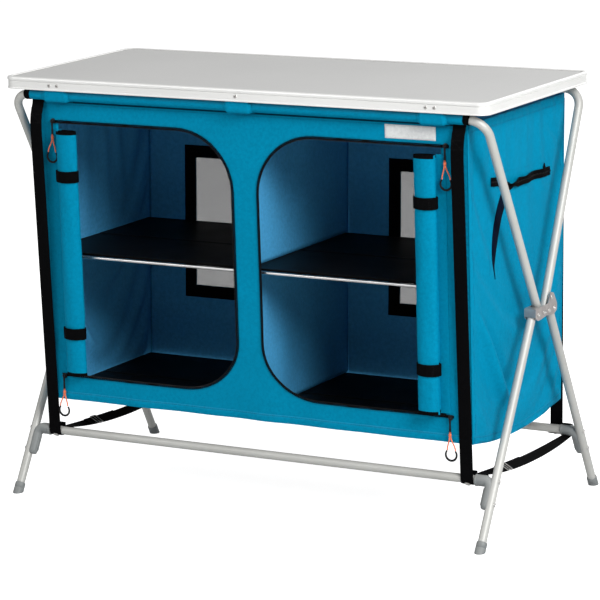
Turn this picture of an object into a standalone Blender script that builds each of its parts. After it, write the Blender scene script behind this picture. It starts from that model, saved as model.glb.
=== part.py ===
"""Folding camping cupboard: a laminate worktop on two tube frames that cross at a
pressed-steel bracket at each end, with a fabric cabinet hung between the rails.

Metres, +Z up, +X along the worktop, -Y to the front where the doors are.
The origin is on the floor, under the middle of the feet.
"""

import math

import bmesh
import bpy
from mathutils import Vector

# Overall size
WORKTOP_WIDTH = 1.000
WORKTOP_DEPTH = 0.450
WORKTOP_TOP_Z = 0.800
WORKTOP_SHIFT_Y = -0.007
WORKTOP_CORNER_R = 0.022
FOOT_HALF_SPREAD = 0.2525

# Clearances and sheet thicknesses
GAP = 0.0003
CLOTH = 0.0016
WEBBING = 0.0015
WEBBING_WIDTH = 0.025
CUT_REACH = 0.050

# Aluminium edge profile of the worktop
RIM_HEIGHT = 0.023
RIM_WALL = 0.0015
RIM_BAND_INSET = 0.0015
RIM_TOP_LIP = 0.0085
RIM_LOWER_LIP = 0.0105
RIM_GROOVE_Z = 0.0154
BOARD_EDGE_DROP = 0.0006
EDGE_SCREW_Z = 0.0095
EDGE_SCREW_PITCH = 0.017
EDGE_SCREW_R = 0.0016
EDGE_SCREW_HEAD_R = 0.0034
EDGE_SCREW_LENGTH = 0.011

# Frame tubes
TUBE_R = 0.008
TUBE_WALL = 0.0012
TUBE_SIDES = 14
BEND_R = 0.035
BEND_STEPS = 6
LEG_INSET = 0.011
RAIL_INSET = 0.018

# Fold bracket: the row of four pivots, front to back, and its sheet
PIVOT_Z = 0.3865
FRONT_LEG_PIVOT_Y = -0.0243
FRONT_FRAME_PIVOT_Y = 0.0010
REAR_FRAME_PIVOT_Y = 0.0230
REAR_LEG_PIVOT_Y = 0.0460
SECOND_RIVET_RISE = 0.0255
TUBE_END = 0.007
BRACKET_SHEET = 0.0015
BRACKET_TOP = 0.0130
BRACKET_FOOT = 0.0105
BRACKET_REAR = 0.0105
BRACKET_WEB_DROP = 0.0035
BRACKET_FLANGE = 0.0040
BRACKET_CORNER_R = 0.003
EAR_MARGIN = 0.0085
TONGUE = 0.0026
TONGUE_START = 0.0115
BOSS_R = 0.0065
RIVET_R = 0.0022
RIVET_HEAD_R = 0.0045
RIVET_HEAD = 0.0018

# Crossbars, their moulded elbows and the foot caps
FRONT_CROSSBAR_Z = 0.1136
REAR_CROSSBAR_Z = 0.1200
ELBOW_WALL = 0.0025
ELBOW_SOCKET = 0.0375
ELBOW_CLOSED_END = 0.0130
ELBOW_SADDLE_INSET = 0.0055
ELBOW_BEND_R = 0.0112
ELBOW_DROP = 0.052
ELBOW_RIVET_PITCH = 0.042
ELBOW_RIVET_GRIP = 0.002
CAP_WALL = 0.0015
CAP_LENGTH = 0.018
CAP_FLOOR = 0.005
CAP_OVERRUN = 0.003

# Clamps that hold the worktop to the rails
CLAMP_WALL = 0.003
CLAMP_INSET = 0.110
CLAMP_WIDTH = 0.036
CLAMP_PLAY = 0.001
CLIP_CLEARANCE = 0.0008
CLIP_END_ANGLE = -25.0
CLIP_START_ANGLE = 100.0

# Fabric cabinet
CABINET_TO_LEG = 0.039
FABRIC_BOTTOM_Z = 0.180
FRONT_LEAN = 0.011
BACK_LEAN = 0.0235
SLEEVE_WRAP = 300.0
SLEEVE_NOTCH = 0.0025
CLIP_NOTCH_DROP = 0.0075
SIDE_TOP_DROP = 0.0105
LABEL_TO_DOOR_END = 0.0595
LABEL_WIDTH = 0.100
LABEL_HEIGHT = 0.025
LABEL_DROP = 0.030
LABEL_SHEET = 0.0008

# Door openings, their zips and the rolled doors
DOOR_INNER_X = 0.028
DOOR_TO_SIDE = 0.052
DOOR_TOP_DROP = 0.0526
DOOR_SILL = 0.049
DOOR_TOP_CORNER = (0.115, 0.110)
DOOR_BOTTOM_CORNER = (0.112, 0.098)
DOOR_CORNER_STEPS = 7
ZIP_WIDTH = 0.006
ZIP_SHEET = 0.0010
ZIP_OVERRUN = 0.016
ROLL_TO_DOOR_END = 0.021
ROLL_HALF_WIDTH = 0.021
ROLL_HALF_DEPTH = 0.013
ROLL_SHORT_TOP = 0.013
ROLL_SHORT_BOTTOM = 0.004
ROLL_HEM = 0.009
ROLL_SIDES = 16
TIE_WIDTH = 0.022
TIE_SHEET = 0.0012
TIE_FROM_TOP = 0.098
TIE_FROM_BOTTOM = 0.086

# Zip sliders and their pulls
SLIDER_OUT = 0.010
SLIDER_WIDTH = 0.007
SLIDER_HEIGHT = 0.009
SLIDER_DEPTH = 0.003
SLIDER_LUG = 0.0012
SLIDER_LUG_REACH = 0.0045
TAB_SHEET = 0.0014
TAB_WIDTH = 0.0035
TAB_LENGTH = 0.026
PULL_LOOP = 0.052
PULL_LOOP_HALF = 0.0060
PULL_LOOP_TOP = 0.0025
PULL_CORD_R = 0.0013

# Shelf, floor boards and rods
ROD_R = 0.003
SHELF_ROD_Z = 0.458
BOARD = 0.004
BOARD_SIDE_GAP = 0.0005
BOARD_FOLD_GAP = 0.0003
BOARD_GROOVE = 0.0005
FLOOR_RISE = 0.006
ROD_TO_PANEL = 0.0095
REAR_ROD_INSET = 0.012
BOARD_REAR_INSET = 0.008

# Mesh windows in the back
WINDOW_INNER_X = 0.088
WINDOW_TO_SIDE = 0.0835
WINDOW_RISE = 0.130
WINDOW_DROP = 0.1528
WINDOW_BORDER = 0.024
MESH_SHEET = 0.0010

# Webbing straps
CORNER_STRAP_TO_SIDE = 0.013
CROSS_STRAP_WIDTH = 0.0185
STRAP_CLEAR = 0.001
CROSS_STRAP_SAG = 0.010
STRAP_RETURN = 0.016
STUD_R = 0.0055
STUD = 0.0015
BUCKLE_Y = -0.085
BUCKLE_LENGTH = 0.022
BUCKLE_SHEET = 0.0016

# Zipped flap in the right-hand side
FLAP_FRONT_Y = -0.094
FLAP_REAR_Y = 0.150
FLAP_LOW_Z = 0.462
FLAP_HIGH_Z = 0.628
FLAP_ZIP_WIDTH = 0.010

# Places that follow from the sizes above
LEG_X = WORKTOP_WIDTH / 2 - LEG_INSET
CLAMP_X = WORKTOP_WIDTH / 2 - CLAMP_INSET
WORKTOP_UNDERSIDE_Z = WORKTOP_TOP_Z - RIM_HEIGHT
SLEEVE_R = TUBE_R + GAP + CLOTH / 2
RAIL_Z = WORKTOP_UNDERSIDE_Z - GAP - CLOTH - GAP - TUBE_R
WORKTOP_FRONT_Y = WORKTOP_SHIFT_Y - WORKTOP_DEPTH / 2
FRONT_RAIL_Y = WORKTOP_FRONT_Y + RAIL_INSET
REAR_RAIL_Y = WORKTOP_FRONT_Y + WORKTOP_DEPTH - RAIL_INSET
BOARD_UNDERSIDE_Z = WORKTOP_UNDERSIDE_Z + RIM_WALL + GAP
CABINET_X = LEG_X - CABINET_TO_LEG
CORNER_STRAP_X = CABINET_X - CORNER_STRAP_TO_SIDE
DOOR_OUTER_X = CABINET_X - DOOR_TO_SIDE
ROLL_X = DOOR_OUTER_X - ROLL_TO_DOOR_END
LABEL_X = DOOR_OUTER_X - LABEL_TO_DOOR_END
WINDOW_OUTER_X = CABINET_X - WINDOW_TO_SIDE
WINDOW_LOW_Z = FABRIC_BOTTOM_Z + WINDOW_RISE
WINDOW_HIGH_Z = RAIL_Z - WINDOW_DROP
SHELF_UNDERSIDE_Z = SHELF_ROD_Z + ROD_R + GAP
FLOOR_UNDERSIDE_Z = FABRIC_BOTTOM_Z + FLOOR_RISE
DOOR_TOP_Z = RAIL_Z - DOOR_TOP_DROP
DOOR_BOTTOM_Z = FABRIC_BOTTOM_Z + DOOR_SILL
SIDE_TOP_Z = RAIL_Z - SIDE_TOP_DROP
PLATE_INNER_X = LEG_X - TUBE_R - GAP - BRACKET_SHEET
TONGUE_X = LEG_X + TUBE_R + GAP
PLATE_OUTER_X = TONGUE_X + TONGUE + GAP + BRACKET_SHEET
RIVET_HOLE_R = RIVET_R + GAP


def direction(from_point, to_point):
    """Unit (y, z) direction from one point of an end frame to another."""
    y = to_point[0] - from_point[0]
    z = to_point[1] - from_point[1]
    length = math.hypot(y, z)
    return (y / length, z / length)


def along(start, heading, distance):
    return (start[0] + heading[0] * distance, start[1] + heading[1] * distance)


FRONT_LEG_PIVOT = (FRONT_LEG_PIVOT_Y, PIVOT_Z)
FRONT_FRAME_PIVOT = (FRONT_FRAME_PIVOT_Y, PIVOT_Z)
REAR_FRAME_PIVOT = (REAR_FRAME_PIVOT_Y, PIVOT_Z)
REAR_LEG_PIVOT = (REAR_LEG_PIVOT_Y, PIVOT_Z)
FRONT_RAIL = (FRONT_RAIL_Y, RAIL_Z)
REAR_RAIL = (REAR_RAIL_Y, RAIL_Z)
FRONT_FOOT = (-FOOT_HALF_SPREAD, 0.0)
REAR_FOOT = (FOOT_HALF_SPREAD, 0.0)
FRONT_LEG_DOWN = direction(FRONT_LEG_PIVOT, FRONT_FOOT)
REAR_LEG_DOWN = direction(REAR_LEG_PIVOT, REAR_FOOT)
REAR_LEG_UP = (-REAR_LEG_DOWN[0], -REAR_LEG_DOWN[1])
SECOND_RIVET = along(REAR_LEG_PIVOT, REAR_LEG_UP, SECOND_RIVET_RISE)


def point_at_height(start, heading, z):
    return along(start, heading, (z - start[1]) / heading[1])


FRONT_CROSSBAR = point_at_height(FRONT_LEG_PIVOT, FRONT_LEG_DOWN, FRONT_CROSSBAR_Z)
REAR_CROSSBAR = point_at_height(REAR_LEG_PIVOT, REAR_LEG_DOWN, REAR_CROSSBAR_Z)
SOCKET_X = LEG_X - ELBOW_SOCKET
SOCKET_R = TUBE_R + GAP + ELBOW_WALL


def hanging_y(rail_y, lean, z):
    """Mid-plane of a panel that hangs behind its rail and leans inwards lower down."""
    drop = (RAIL_Z - z) / (RAIL_Z - FABRIC_BOTTOM_Z)
    return rail_y + SLEEVE_R + lean * drop


def front_y(z):
    return hanging_y(FRONT_RAIL_Y, FRONT_LEAN, z)


def back_y(z):
    return hanging_y(REAR_RAIL_Y, -BACK_LEAN, z)


# Materials


def material(name, colour, roughness, metallic=0.0):
    mat = bpy.data.materials.new(name)
    mat.use_nodes = True
    shader = mat.node_tree.nodes["Principled BSDF"]
    shader.inputs["Base Color"].default_value = (*colour, 1.0)
    shader.inputs["Roughness"].default_value = roughness
    shader.inputs["Metallic"].default_value = metallic
    return mat


def make_materials():
    return {
        "laminate": material("laminate", (0.57, 0.57, 0.57), 0.45),
        "anodised": material("anodised", (0.78, 0.78, 0.76), 0.35, 0.6),
        "tube": material("tube", (0.68, 0.68, 0.65), 0.40, 0.7),
        "steel": material("steel", (0.38, 0.34, 0.34), 0.35, 0.9),
        "grey_plastic": material("grey_plastic", (0.21, 0.22, 0.22), 0.55),
        "cloth": material("cloth", (0.0, 0.26, 0.42), 0.85),
        "webbing": material("webbing", (0.006, 0.006, 0.007), 0.80),
        "mesh": material("mesh", (0.28, 0.28, 0.28), 0.80),
        "label": material("label", (0.75, 0.78, 0.80), 0.60),
        "cord": material("cord", (0.80, 0.15, 0.07), 0.60),
    }


# Building blocks


def finish_object(name, bm, mat, smooth=False, origin=(0.0, 0.0, 0.0)):
    """Puts a bmesh made in world coordinates on an object whose origin is given."""
    bmesh.ops.translate(bm, verts=bm.verts[:], vec=-Vector(origin))
    bmesh.ops.recalc_face_normals(bm, faces=bm.faces[:])
    mesh = bpy.data.meshes.new(name)
    bm.to_mesh(mesh)
    bm.free()
    if smooth:
        mesh.shade_smooth()
        mesh.set_sharp_from_angle(angle=math.radians(35.0))
    if mat is not None:
        mesh.materials.append(mat)
    obj = bpy.data.objects.new(name, mesh)
    obj.location = origin
    bpy.context.scene.collection.objects.link(obj)
    return obj


def cutter(name, bm):
    obj = finish_object(name, bm, None)
    obj.hide_render = True
    obj.display_type = "WIRE"
    return obj


def boolean(obj, tool, operation="DIFFERENCE"):
    mod = obj.modifiers.new(tool.name, "BOOLEAN")
    mod.operation = operation
    mod.solver = "EXACT"
    mod.object = tool


def add_prism(bm, outline, low, high, place):
    """Extrudes a closed outline; place(u, v, w) turns it into a world point."""
    bottom = [bm.verts.new(place(u, v, low)) for u, v in outline]
    top = [bm.verts.new(place(u, v, high)) for u, v in outline]
    bm.faces.new(bottom)
    bm.faces.new(top)
    count = len(outline)
    for i in range(count):
        j = (i + 1) % count
        bm.faces.new((bottom[i], bottom[j], top[j], top[i]))


def across(y, z, x):
    return (x, y, z)


def upright(x, z, y):
    return (x, y, z)


def level(x, y, z):
    return (x, y, z)


def add_box(bm, low, high):
    outline = [(low[0], low[1]), (high[0], low[1]), (high[0], high[1]), (low[0], high[1])]
    add_prism(bm, outline, low[2], high[2], level)


def arc(centre, radius, start_deg, end_deg, steps):
    points = []
    for i in range(steps + 1):
        angle = math.radians(start_deg + (end_deg - start_deg) * i / steps)
        points.append((centre[0] + radius * math.cos(angle), centre[1] + radius * math.sin(angle)))
    return points


def rounded(corners, radius, steps=2):
    """Replaces each corner of a closed outline by a short arc that ends on both sides."""
    result = []
    count = len(corners)
    for i in range(count):
        here = Vector(corners[i])
        before = (Vector(corners[i - 1]) - here)
        after = (Vector(corners[(i + 1) % count]) - here)
        reach = min(radius, 0.45 * before.length, 0.45 * after.length)
        start = here + before.normalized() * reach
        end = here + after.normalized() * reach
        for k in range(steps + 1):
            t = k / steps
            point = start * (1 - t) ** 2 + here * 2 * t * (1 - t) + end * t ** 2
            result.append((point.x, point.y))
    return result


def ribbon(path, thickness):
    """Closed outline of a strip of even thickness along an open 2-D path."""
    left = []
    right = []
    count = len(path)
    for i in range(count):
        here = Vector(path[i])
        before = here - Vector(path[max(i - 1, 0)])
        after = Vector(path[min(i + 1, count - 1)]) - here
        tangents = [t.normalized() for t in (before, after) if t.length > 1e-9]
        tangent = sum(tangents, Vector((0.0, 0.0))).normalized()
        normal = Vector((-tangent.y, tangent.x))
        spread = thickness / 2 / max(normal.dot(Vector((-tangents[0].y, tangents[0].x))), 0.3)
        left.append(here + normal * spread)
        right.append(here - normal * spread)
    return [(p.x, p.y) for p in left + right[::-1]]


def filleted(corners, radius, steps):
    """Rounds the inner corners of an open 3-D path with arcs of one radius."""
    points = [Vector(corners[0])]
    for i in range(1, len(corners) - 1):
        here = Vector(corners[i])
        to_before = (Vector(corners[i - 1]) - here).normalized()
        to_after = (Vector(corners[i + 1]) - here).normalized()
        half = to_before.angle(to_after) / 2
        trim = radius / math.tan(half)
        bisector = (to_before + to_after).normalized()
        centre = here + bisector * (radius / math.sin(half))
        first = here + to_before * trim - centre
        turn = math.pi - 2 * half
        side = (here + to_after * trim - centre) - first * math.cos(turn)
        side.normalize()
        for k in range(steps + 1):
            angle = turn * k / steps
            points.append(centre + first * math.cos(angle) + side * (radius * math.sin(angle)))
    points.append(Vector(corners[-1]))
    return points


def path_tangents(path):
    tangents = []
    for i in range(len(path)):
        before = path[max(i - 1, 0)]
        after = path[min(i + 1, len(path) - 1)]
        tangents.append((after - before).normalized())
    return tangents


def add_rings(bm, path, radius, sides, side_axis):
    """One ring of vertices at each point of a path that lies in one plane."""
    rings = []
    for point, tangent in zip(path, path_tangents(path)):
        u = side_axis - tangent * side_axis.dot(tangent)
        u.normalize()
        v = tangent.cross(u)
        ring = []
        for k in range(sides):
            angle = 2 * math.pi * (k + 0.5) / sides
            offset = u * (radius * math.cos(angle)) + v * (radius * math.sin(angle))
            ring.append(bm.verts.new(point + offset))
        rings.append(ring)
    return rings


def bridge(bm, first, second):
    count = len(first)
    for k in range(count):
        n = (k + 1) % count
        bm.faces.new((first[k], first[n], second[n], second[k]))


def add_tube(bm, path, radius, wall=0.0, sides=TUBE_SIDES, side_axis=Vector((0, 0, 1))):
    """A tube along a path; wall 0 makes a solid bar."""
    outer = add_rings(bm, path, radius, sides, side_axis)
    for first, second in zip(outer, outer[1:]):
        bridge(bm, first, second)
    if wall == 0.0:
        bm.faces.new(outer[0])
        bm.faces.new(outer[-1])
        return
    inner = add_rings(bm, path, radius - wall, sides, side_axis)
    for first, second in zip(inner, inner[1:]):
        bridge(bm, second, first)
    bridge(bm, outer[0], inner[0])
    bridge(bm, outer[-1], inner[-1])


def add_cross_bar(bm, centre, x_low, x_high, radius, sides=10):
    """A solid bar along X at a (y, z) centre."""
    path = [Vector((x_low, *centre)), Vector((x_high, *centre))]
    add_tube(bm, path, radius, sides=sides)


def add_turned(bm, centre, stations, flip=1.0, sides=10):
    """A piece turned about a line along X: stations are (x, radius)."""
    rings = []
    for x, radius in stations:
        ring = []
        for k in range(sides):
            angle = 2 * math.pi * (k + 0.5) / sides
            y = centre[0] + radius * math.cos(angle)
            z = centre[1] + radius * math.sin(angle)
            ring.append(bm.verts.new((x * flip, y, z)))
        rings.append(ring)
    for first, second in zip(rings, rings[1:]):
        bridge(bm, first, second)
    bm.faces.new(rings[0])
    bm.faces.new(rings[-1])


# Worktop


def rim_path(inset):
    """Rounded rectangle, inset from the worktop's outer edge."""
    half_x = WORKTOP_WIDTH / 2 - inset
    half_y = WORKTOP_DEPTH / 2 - inset
    radius = WORKTOP_CORNER_R - inset
    points = []
    for sign_x, sign_y, start in ((1, 1, 0), (-1, 1, 90), (-1, -1, 180), (1, -1, 270)):
        centre = (sign_x * (half_x - radius), WORKTOP_SHIFT_Y + sign_y * (half_y - radius))
        points += arc(centre, radius, start, start + 90, 4)
    return points


def edge_screw_places():
    half_pitch = EDGE_SCREW_PITCH / 2
    pairs = [side * CLAMP_X + step for side in (-1, 1) for step in (-half_pitch, half_pitch)]
    return pairs + [0.0]


def make_worktop(mats):
    origin = (0.0, *FRONT_RAIL)
    board_inset = 2 * RIM_BAND_INSET + GAP
    board_top = WORKTOP_TOP_Z - RIM_WALL - GAP
    board_profile = [
        (board_inset, BOARD_UNDERSIDE_Z), (board_inset, board_top - BOARD_EDGE_DROP),
        (RIM_TOP_LIP + GAP, board_top),
    ]
    bm = bmesh.new()
    loops = []
    for inset, z in board_profile:
        loops.append([bm.verts.new((x, y, z)) for x, y in rim_path(inset)])
    for first, second in zip(loops, loops[1:]):
        bridge(bm, first, second)
    bm.faces.new(loops[0])
    bm.faces.new(loops[-1])
    panel = finish_object("worktop_panel", bm, mats["laminate"], origin=origin)

    groove = RIM_GROOVE_Z
    back = 2 * RIM_BAND_INSET
    profile = [
        (RIM_LOWER_LIP, 0.0), (0.0010, 0.0), (0.0005, 0.0006), (0.0005, 0.0030),
        (RIM_BAND_INSET, 0.0036), (RIM_BAND_INSET, groove - 0.0004),
        (RIM_BAND_INSET + 0.0006, groove), (RIM_BAND_INSET + 0.0006, groove + 0.0004),
        (0.0004, groove + 0.0010), (0.0, groove + 0.0018), (0.0, RIM_HEIGHT - 0.0026),
        (0.0006, RIM_HEIGHT - 0.0010), (0.0020, RIM_HEIGHT), (RIM_TOP_LIP, RIM_HEIGHT),
        (RIM_TOP_LIP, RIM_HEIGHT - RIM_WALL), (back, RIM_HEIGHT - RIM_WALL),
        (back, RIM_WALL), (RIM_LOWER_LIP, RIM_WALL),
    ]
    bm = bmesh.new()
    loops = []
    for inset, z in profile:
        loops.append([bm.verts.new((x, y, WORKTOP_UNDERSIDE_Z + z)) for x, y in rim_path(inset)])
    for i, loop in enumerate(loops):
        bridge(bm, loop, loops[(i + 1) % len(loops)])
    rim = finish_object("worktop_edge", bm, mats["anodised"], origin=origin)

    # The screws through the rim into the board are one solid with the rim.
    screw_z = WORKTOP_UNDERSIDE_Z + EDGE_SCREW_Z
    head_y = WORKTOP_FRONT_Y + RIM_BAND_INSET + GAP
    holes = bmesh.new()
    screws = bmesh.new()
    for x in edge_screw_places():
        start = Vector((x, WORKTOP_FRONT_Y, screw_z))
        deep = Vector((x, head_y + EDGE_SCREW_LENGTH + GAP, screw_z))
        add_tube(holes, [start, deep], EDGE_SCREW_R + GAP, sides=8)
        add_screw(screws, x, head_y, screw_z)
    boolean(panel, cutter("edge_screw_holes", holes))
    boolean(rim, cutter("edge_screws", screws), "UNION")


def add_screw(bm, x, head_y, z):
    """Pan-head screw pointing to +Y, its head resting on the plane y = head_y."""
    stations = [(-0.0012, 0.5), (-0.0008, 0.85), (-0.0002, 1.0), (0.0, 1.0)]
    rings = []
    for offset, share in stations:
        rings.append(screw_ring(bm, x, head_y + offset, z, EDGE_SCREW_HEAD_R * share))
    rings.append(screw_ring(bm, x, head_y, z, EDGE_SCREW_R))
    rings.append(screw_ring(bm, x, head_y + EDGE_SCREW_LENGTH, z, EDGE_SCREW_R))
    for first, second in zip(rings, rings[1:]):
        bridge(bm, first, second)
    bm.faces.new(rings[0])
    bm.faces.new(rings[-1])


def screw_ring(bm, x, y, z, radius, sides=8):
    ring = []
    for k in range(sides):
        angle = 2 * math.pi * (k + 0.5) / sides
        ring.append(bm.verts.new((x + radius * math.cos(angle), y, z + radius * math.sin(angle))))
    return ring


def clamp_outline():
    """Front clamp: a full ring round the rail under a block that meets the board."""
    radius = TUBE_R + GAP + CLAMP_WALL
    top = BOARD_UNDERSIDE_Z - GAP
    front = WORKTOP_FRONT_Y + RIM_LOWER_LIP + CLAMP_PLAY
    bottom = arc(FRONT_RAIL, radius, 190, 360, 10)
    return [(front, top), (front, RAIL_Z + TUBE_R)] + bottom + [(FRONT_RAIL_Y + radius, top)]


def clip_outline():
    """Rear clip: an arc over and behind the rail, open to the front and below."""
    radius = TUBE_R + CLIP_CLEARANCE + CLAMP_WALL / 2
    path = arc(REAR_RAIL, radius, CLIP_END_ANGLE, CLIP_START_ANGLE, 8)
    hook = ribbon(path, CLAMP_WALL)
    return hook


def make_clamps(mats):
    """Clamps on the front rail and clips over the rear rail, all screwed to the board."""
    origin = (0.0, *FRONT_RAIL)
    half = CLAMP_WIDTH / 2
    bm = bmesh.new()
    add_cross_bar(bm, FRONT_RAIL, -CLAMP_X - CUT_REACH, CLAMP_X + CUT_REACH, TUBE_R + GAP, 16)
    bore = cutter("front_clamp_bore", bm)
    for x, word in ((-CLAMP_X, "left"), (0.0, "middle"), (CLAMP_X, "right")):
        bm = bmesh.new()
        add_prism(bm, clamp_outline(), x - half, x + half, across)
        clamp = finish_object("front_rail_clamp_" + word, bm, mats["grey_plastic"], True, origin)
        boolean(clamp, bore)
    pad_low = RAIL_Z + TUBE_R + CLIP_CLEARANCE + GAP
    pad_rear = WORKTOP_FRONT_Y + WORKTOP_DEPTH - RIM_LOWER_LIP - CLAMP_PLAY
    for x, word in ((-CLAMP_X, "left"), (CLAMP_X, "right")):
        bm = bmesh.new()
        add_prism(bm, clip_outline(), x - half, x + half, across)
        clip = finish_object("rear_rail_clip_" + word, bm, mats["grey_plastic"], True, origin)
        bm = bmesh.new()
        low = (x - half, REAR_RAIL_Y - CLAMP_PLAY, pad_low)
        add_box(bm, low, (x + half, pad_rear, BOARD_UNDERSIDE_Z - GAP))
        boolean(clip, cutter("rear_clip_pad_" + word, bm), "UNION")


# Tube frames


def frame_path(pivot, rail):
    """Centre line of a U frame: up one side, across as the rail, down the other."""
    up = direction(pivot, rail)
    foot = along(pivot, up, -TUBE_END)
    corners = [(-LEG_X, *foot), (-LEG_X, *rail), (LEG_X, *rail), (LEG_X, *foot)]
    return filleted(corners, BEND_R, BEND_STEPS)


def frame_side_axis(pivot, rail):
    """Normal of the plane that a U frame lies in."""
    up = direction(pivot, rail)
    return Vector((0.0, -up[1], up[0]))


def pivot_holes(name, centres):
    bm = bmesh.new()
    for centre in centres:
        for side in (-1, 1):
            low, high = sorted((side * (LEG_X - CUT_REACH / 2), side * (LEG_X + CUT_REACH / 2)))
            add_cross_bar(bm, centre, low, high, RIVET_HOLE_R)
    return cutter(name, bm)


def make_upper_frame(name, pivot, rail, mats):
    bm = bmesh.new()
    path = frame_path(pivot, rail)
    add_tube(bm, path, TUBE_R, TUBE_WALL, side_axis=frame_side_axis(pivot, rail))
    origin = (0.0, *pivot)
    frame = finish_object(name, bm, mats["tube"], smooth=True, origin=origin)
    boolean(frame, pivot_holes(name + "_holes", [pivot]))
    return frame


def leg_end(pivot, foot):
    """Where the tube stops inside its foot cap."""
    return along(foot, direction(foot, pivot), CAP_FLOOR + GAP)


def elbow_rivets(crossbar, heading):
    return [crossbar, along(crossbar, heading, ELBOW_RIVET_PITCH)]


def make_front_leg(side, name, mats):
    bm = bmesh.new()
    top = along(FRONT_LEG_PIVOT, FRONT_LEG_DOWN, -TUBE_END)
    end = leg_end(FRONT_LEG_PIVOT, FRONT_FOOT)
    path = [Vector((side * LEG_X, *top)), Vector((side * LEG_X, *end))]
    add_tube(bm, path, TUBE_R, TUBE_WALL, side_axis=Vector((1, 0, 0)))
    origin = (side * LEG_X, *FRONT_LEG_PIVOT)
    leg = finish_object(name, bm, mats["tube"], smooth=True, origin=origin)
    rivets = elbow_rivets(FRONT_CROSSBAR, FRONT_LEG_DOWN)
    boolean(leg, pivot_holes(name + "_holes", [FRONT_LEG_PIVOT] + rivets))


def leg_ring(bm, side, centre, heading, middle_x, half_x, half_width, squareness):
    """Ring across a leg; squareness 1 is an ellipse and higher is a flattened strap."""
    across_leg = (-heading[1], heading[0])
    ring = []
    for k in range(TUBE_SIDES):
        angle = 2 * math.pi * (k + 0.5) / TUBE_SIDES
        c = math.copysign(abs(math.cos(angle)) ** (1 / squareness), math.cos(angle))
        s = math.copysign(abs(math.sin(angle)) ** (1 / squareness), math.sin(angle))
        x = side * (middle_x + half_x * c)
        y = centre[0] + across_leg[0] * half_width * s
        z = centre[1] + across_leg[1] * half_width * s
        ring.append(bm.verts.new((x, y, z)))
    return ring


def make_rear_leg(side, name, mats):
    """A leg whose upper end is pressed to a flat tongue for the fifth rivet."""
    tongue_x = TONGUE_X + TONGUE / 2
    flat = TONGUE / 2
    start = leg_end(REAR_LEG_PIVOT, REAR_FOOT)
    bore_top = along(REAR_LEG_PIVOT, REAR_LEG_UP, TUBE_END - TUBE_WALL)
    neck = (TUBE_END + TONGUE_START) / 2
    stations = [
        (start, LEG_X, TUBE_R, TUBE_R, 1.0),
        (along(REAR_LEG_PIVOT, REAR_LEG_UP, TUBE_END), LEG_X, TUBE_R, TUBE_R, 1.0),
        (along(REAR_LEG_PIVOT, REAR_LEG_UP, neck), LEG_X + (tongue_x - LEG_X) * 0.66,
         TUBE_R * 0.4, TUBE_R, 1.2),
        (along(REAR_LEG_PIVOT, REAR_LEG_UP, TONGUE_START), tongue_x, flat, TUBE_R, 2.0),
        (along(SECOND_RIVET, REAR_LEG_UP, TUBE_R * 0.5), tongue_x, flat, TUBE_R, 2.0),
        (along(SECOND_RIVET, REAR_LEG_UP, TUBE_R * 0.9), tongue_x, flat, TUBE_R * 0.6, 2.0),
    ]
    bm = bmesh.new()
    rings = [leg_ring(bm, side, p, REAR_LEG_UP, x, hx, hw, sq) for p, x, hx, hw, sq in stations]
    for first, second in zip(rings, rings[1:]):
        bridge(bm, first, second)
    bm.faces.new(rings[-1])
    bore_r = TUBE_R - TUBE_WALL
    bore = [leg_ring(bm, side, p, REAR_LEG_UP, LEG_X, bore_r, bore_r, 1.0) for p in (start, bore_top)]
    bridge(bm, bore[0], bore[1])
    bm.faces.new(bore[1])
    bridge(bm, rings[0], bore[0])
    leg = finish_object(name, bm, mats["tube"], smooth=True)
    rivets = elbow_rivets(REAR_CROSSBAR, REAR_LEG_DOWN)
    boolean(leg, pivot_holes(name + "_holes", [REAR_LEG_PIVOT, SECOND_RIVET] + rivets))


def make_crossbar(name, centre, origin, mats):
    bm = bmesh.new()
    reach = LEG_X - ELBOW_CLOSED_END - GAP
    path = [Vector((-reach, *centre)), Vector((reach, *centre))]
    add_tube(bm, path, TUBE_R, TUBE_WALL)
    finish_object(name, bm, mats["tube"], smooth=True, origin=origin)


def make_elbow(side, name, crossbar, pivot, heading, origin, mats):
    """Moulded elbow: a socket for the crossbar that turns down along the leg."""
    saddle_x = LEG_X - ELBOW_SADDLE_INSET
    low = along(crossbar, heading, ELBOW_DROP)
    corners = [(side * SOCKET_X, *crossbar), (side * saddle_x, *crossbar), (side * saddle_x, *low)]
    path = filleted(corners, ELBOW_BEND_R, BEND_STEPS)
    normal = Vector((0.0, -heading[1], heading[0]))
    bm = bmesh.new()
    add_tube(bm, path, SOCKET_R, side_axis=normal)
    elbow = finish_object(name, bm, mats["grey_plastic"], smooth=True, origin=origin)

    bm = bmesh.new()
    leg = [Vector((side * LEG_X, *along(low, heading, CUT_REACH)))]
    leg.append(Vector((side * LEG_X, *pivot)))
    add_tube(bm, leg, TUBE_R + GAP, side_axis=Vector((1, 0, 0)))
    boolean(elbow, cutter(name + "_leg_seat", bm))

    bm = bmesh.new()
    ends = sorted((side * (SOCKET_X - CUT_REACH), side * (LEG_X - ELBOW_CLOSED_END)))
    add_cross_bar(bm, crossbar, ends[0], ends[1], TUBE_R + GAP, TUBE_SIDES)
    boolean(elbow, cutter(name + "_bore", bm))

    # The two blind rivets through the leg are one solid with the elbow.
    bm = bmesh.new()
    inner = LEG_X - TUBE_R - GAP - ELBOW_RIVET_GRIP
    for centre in elbow_rivets(crossbar, heading):
        add_turned(bm, centre, [(inner, RIVET_R)] + rivet_head(LEG_X + TUBE_R + GAP), side)
    boolean(elbow, cutter(name + "_rivets", bm), "UNION")


def rivet_head(seat_x):
    """Stations of a domed rivet head that rests on the plane x = seat_x."""
    dome = [(0.0, RIVET_R), (0.0, RIVET_HEAD_R), (0.35, RIVET_HEAD_R * 0.94)]
    dome.append((0.8, RIVET_HEAD_R * 0.66))
    return [(seat_x + RIVET_HEAD * height, radius) for height, radius in dome]


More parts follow.
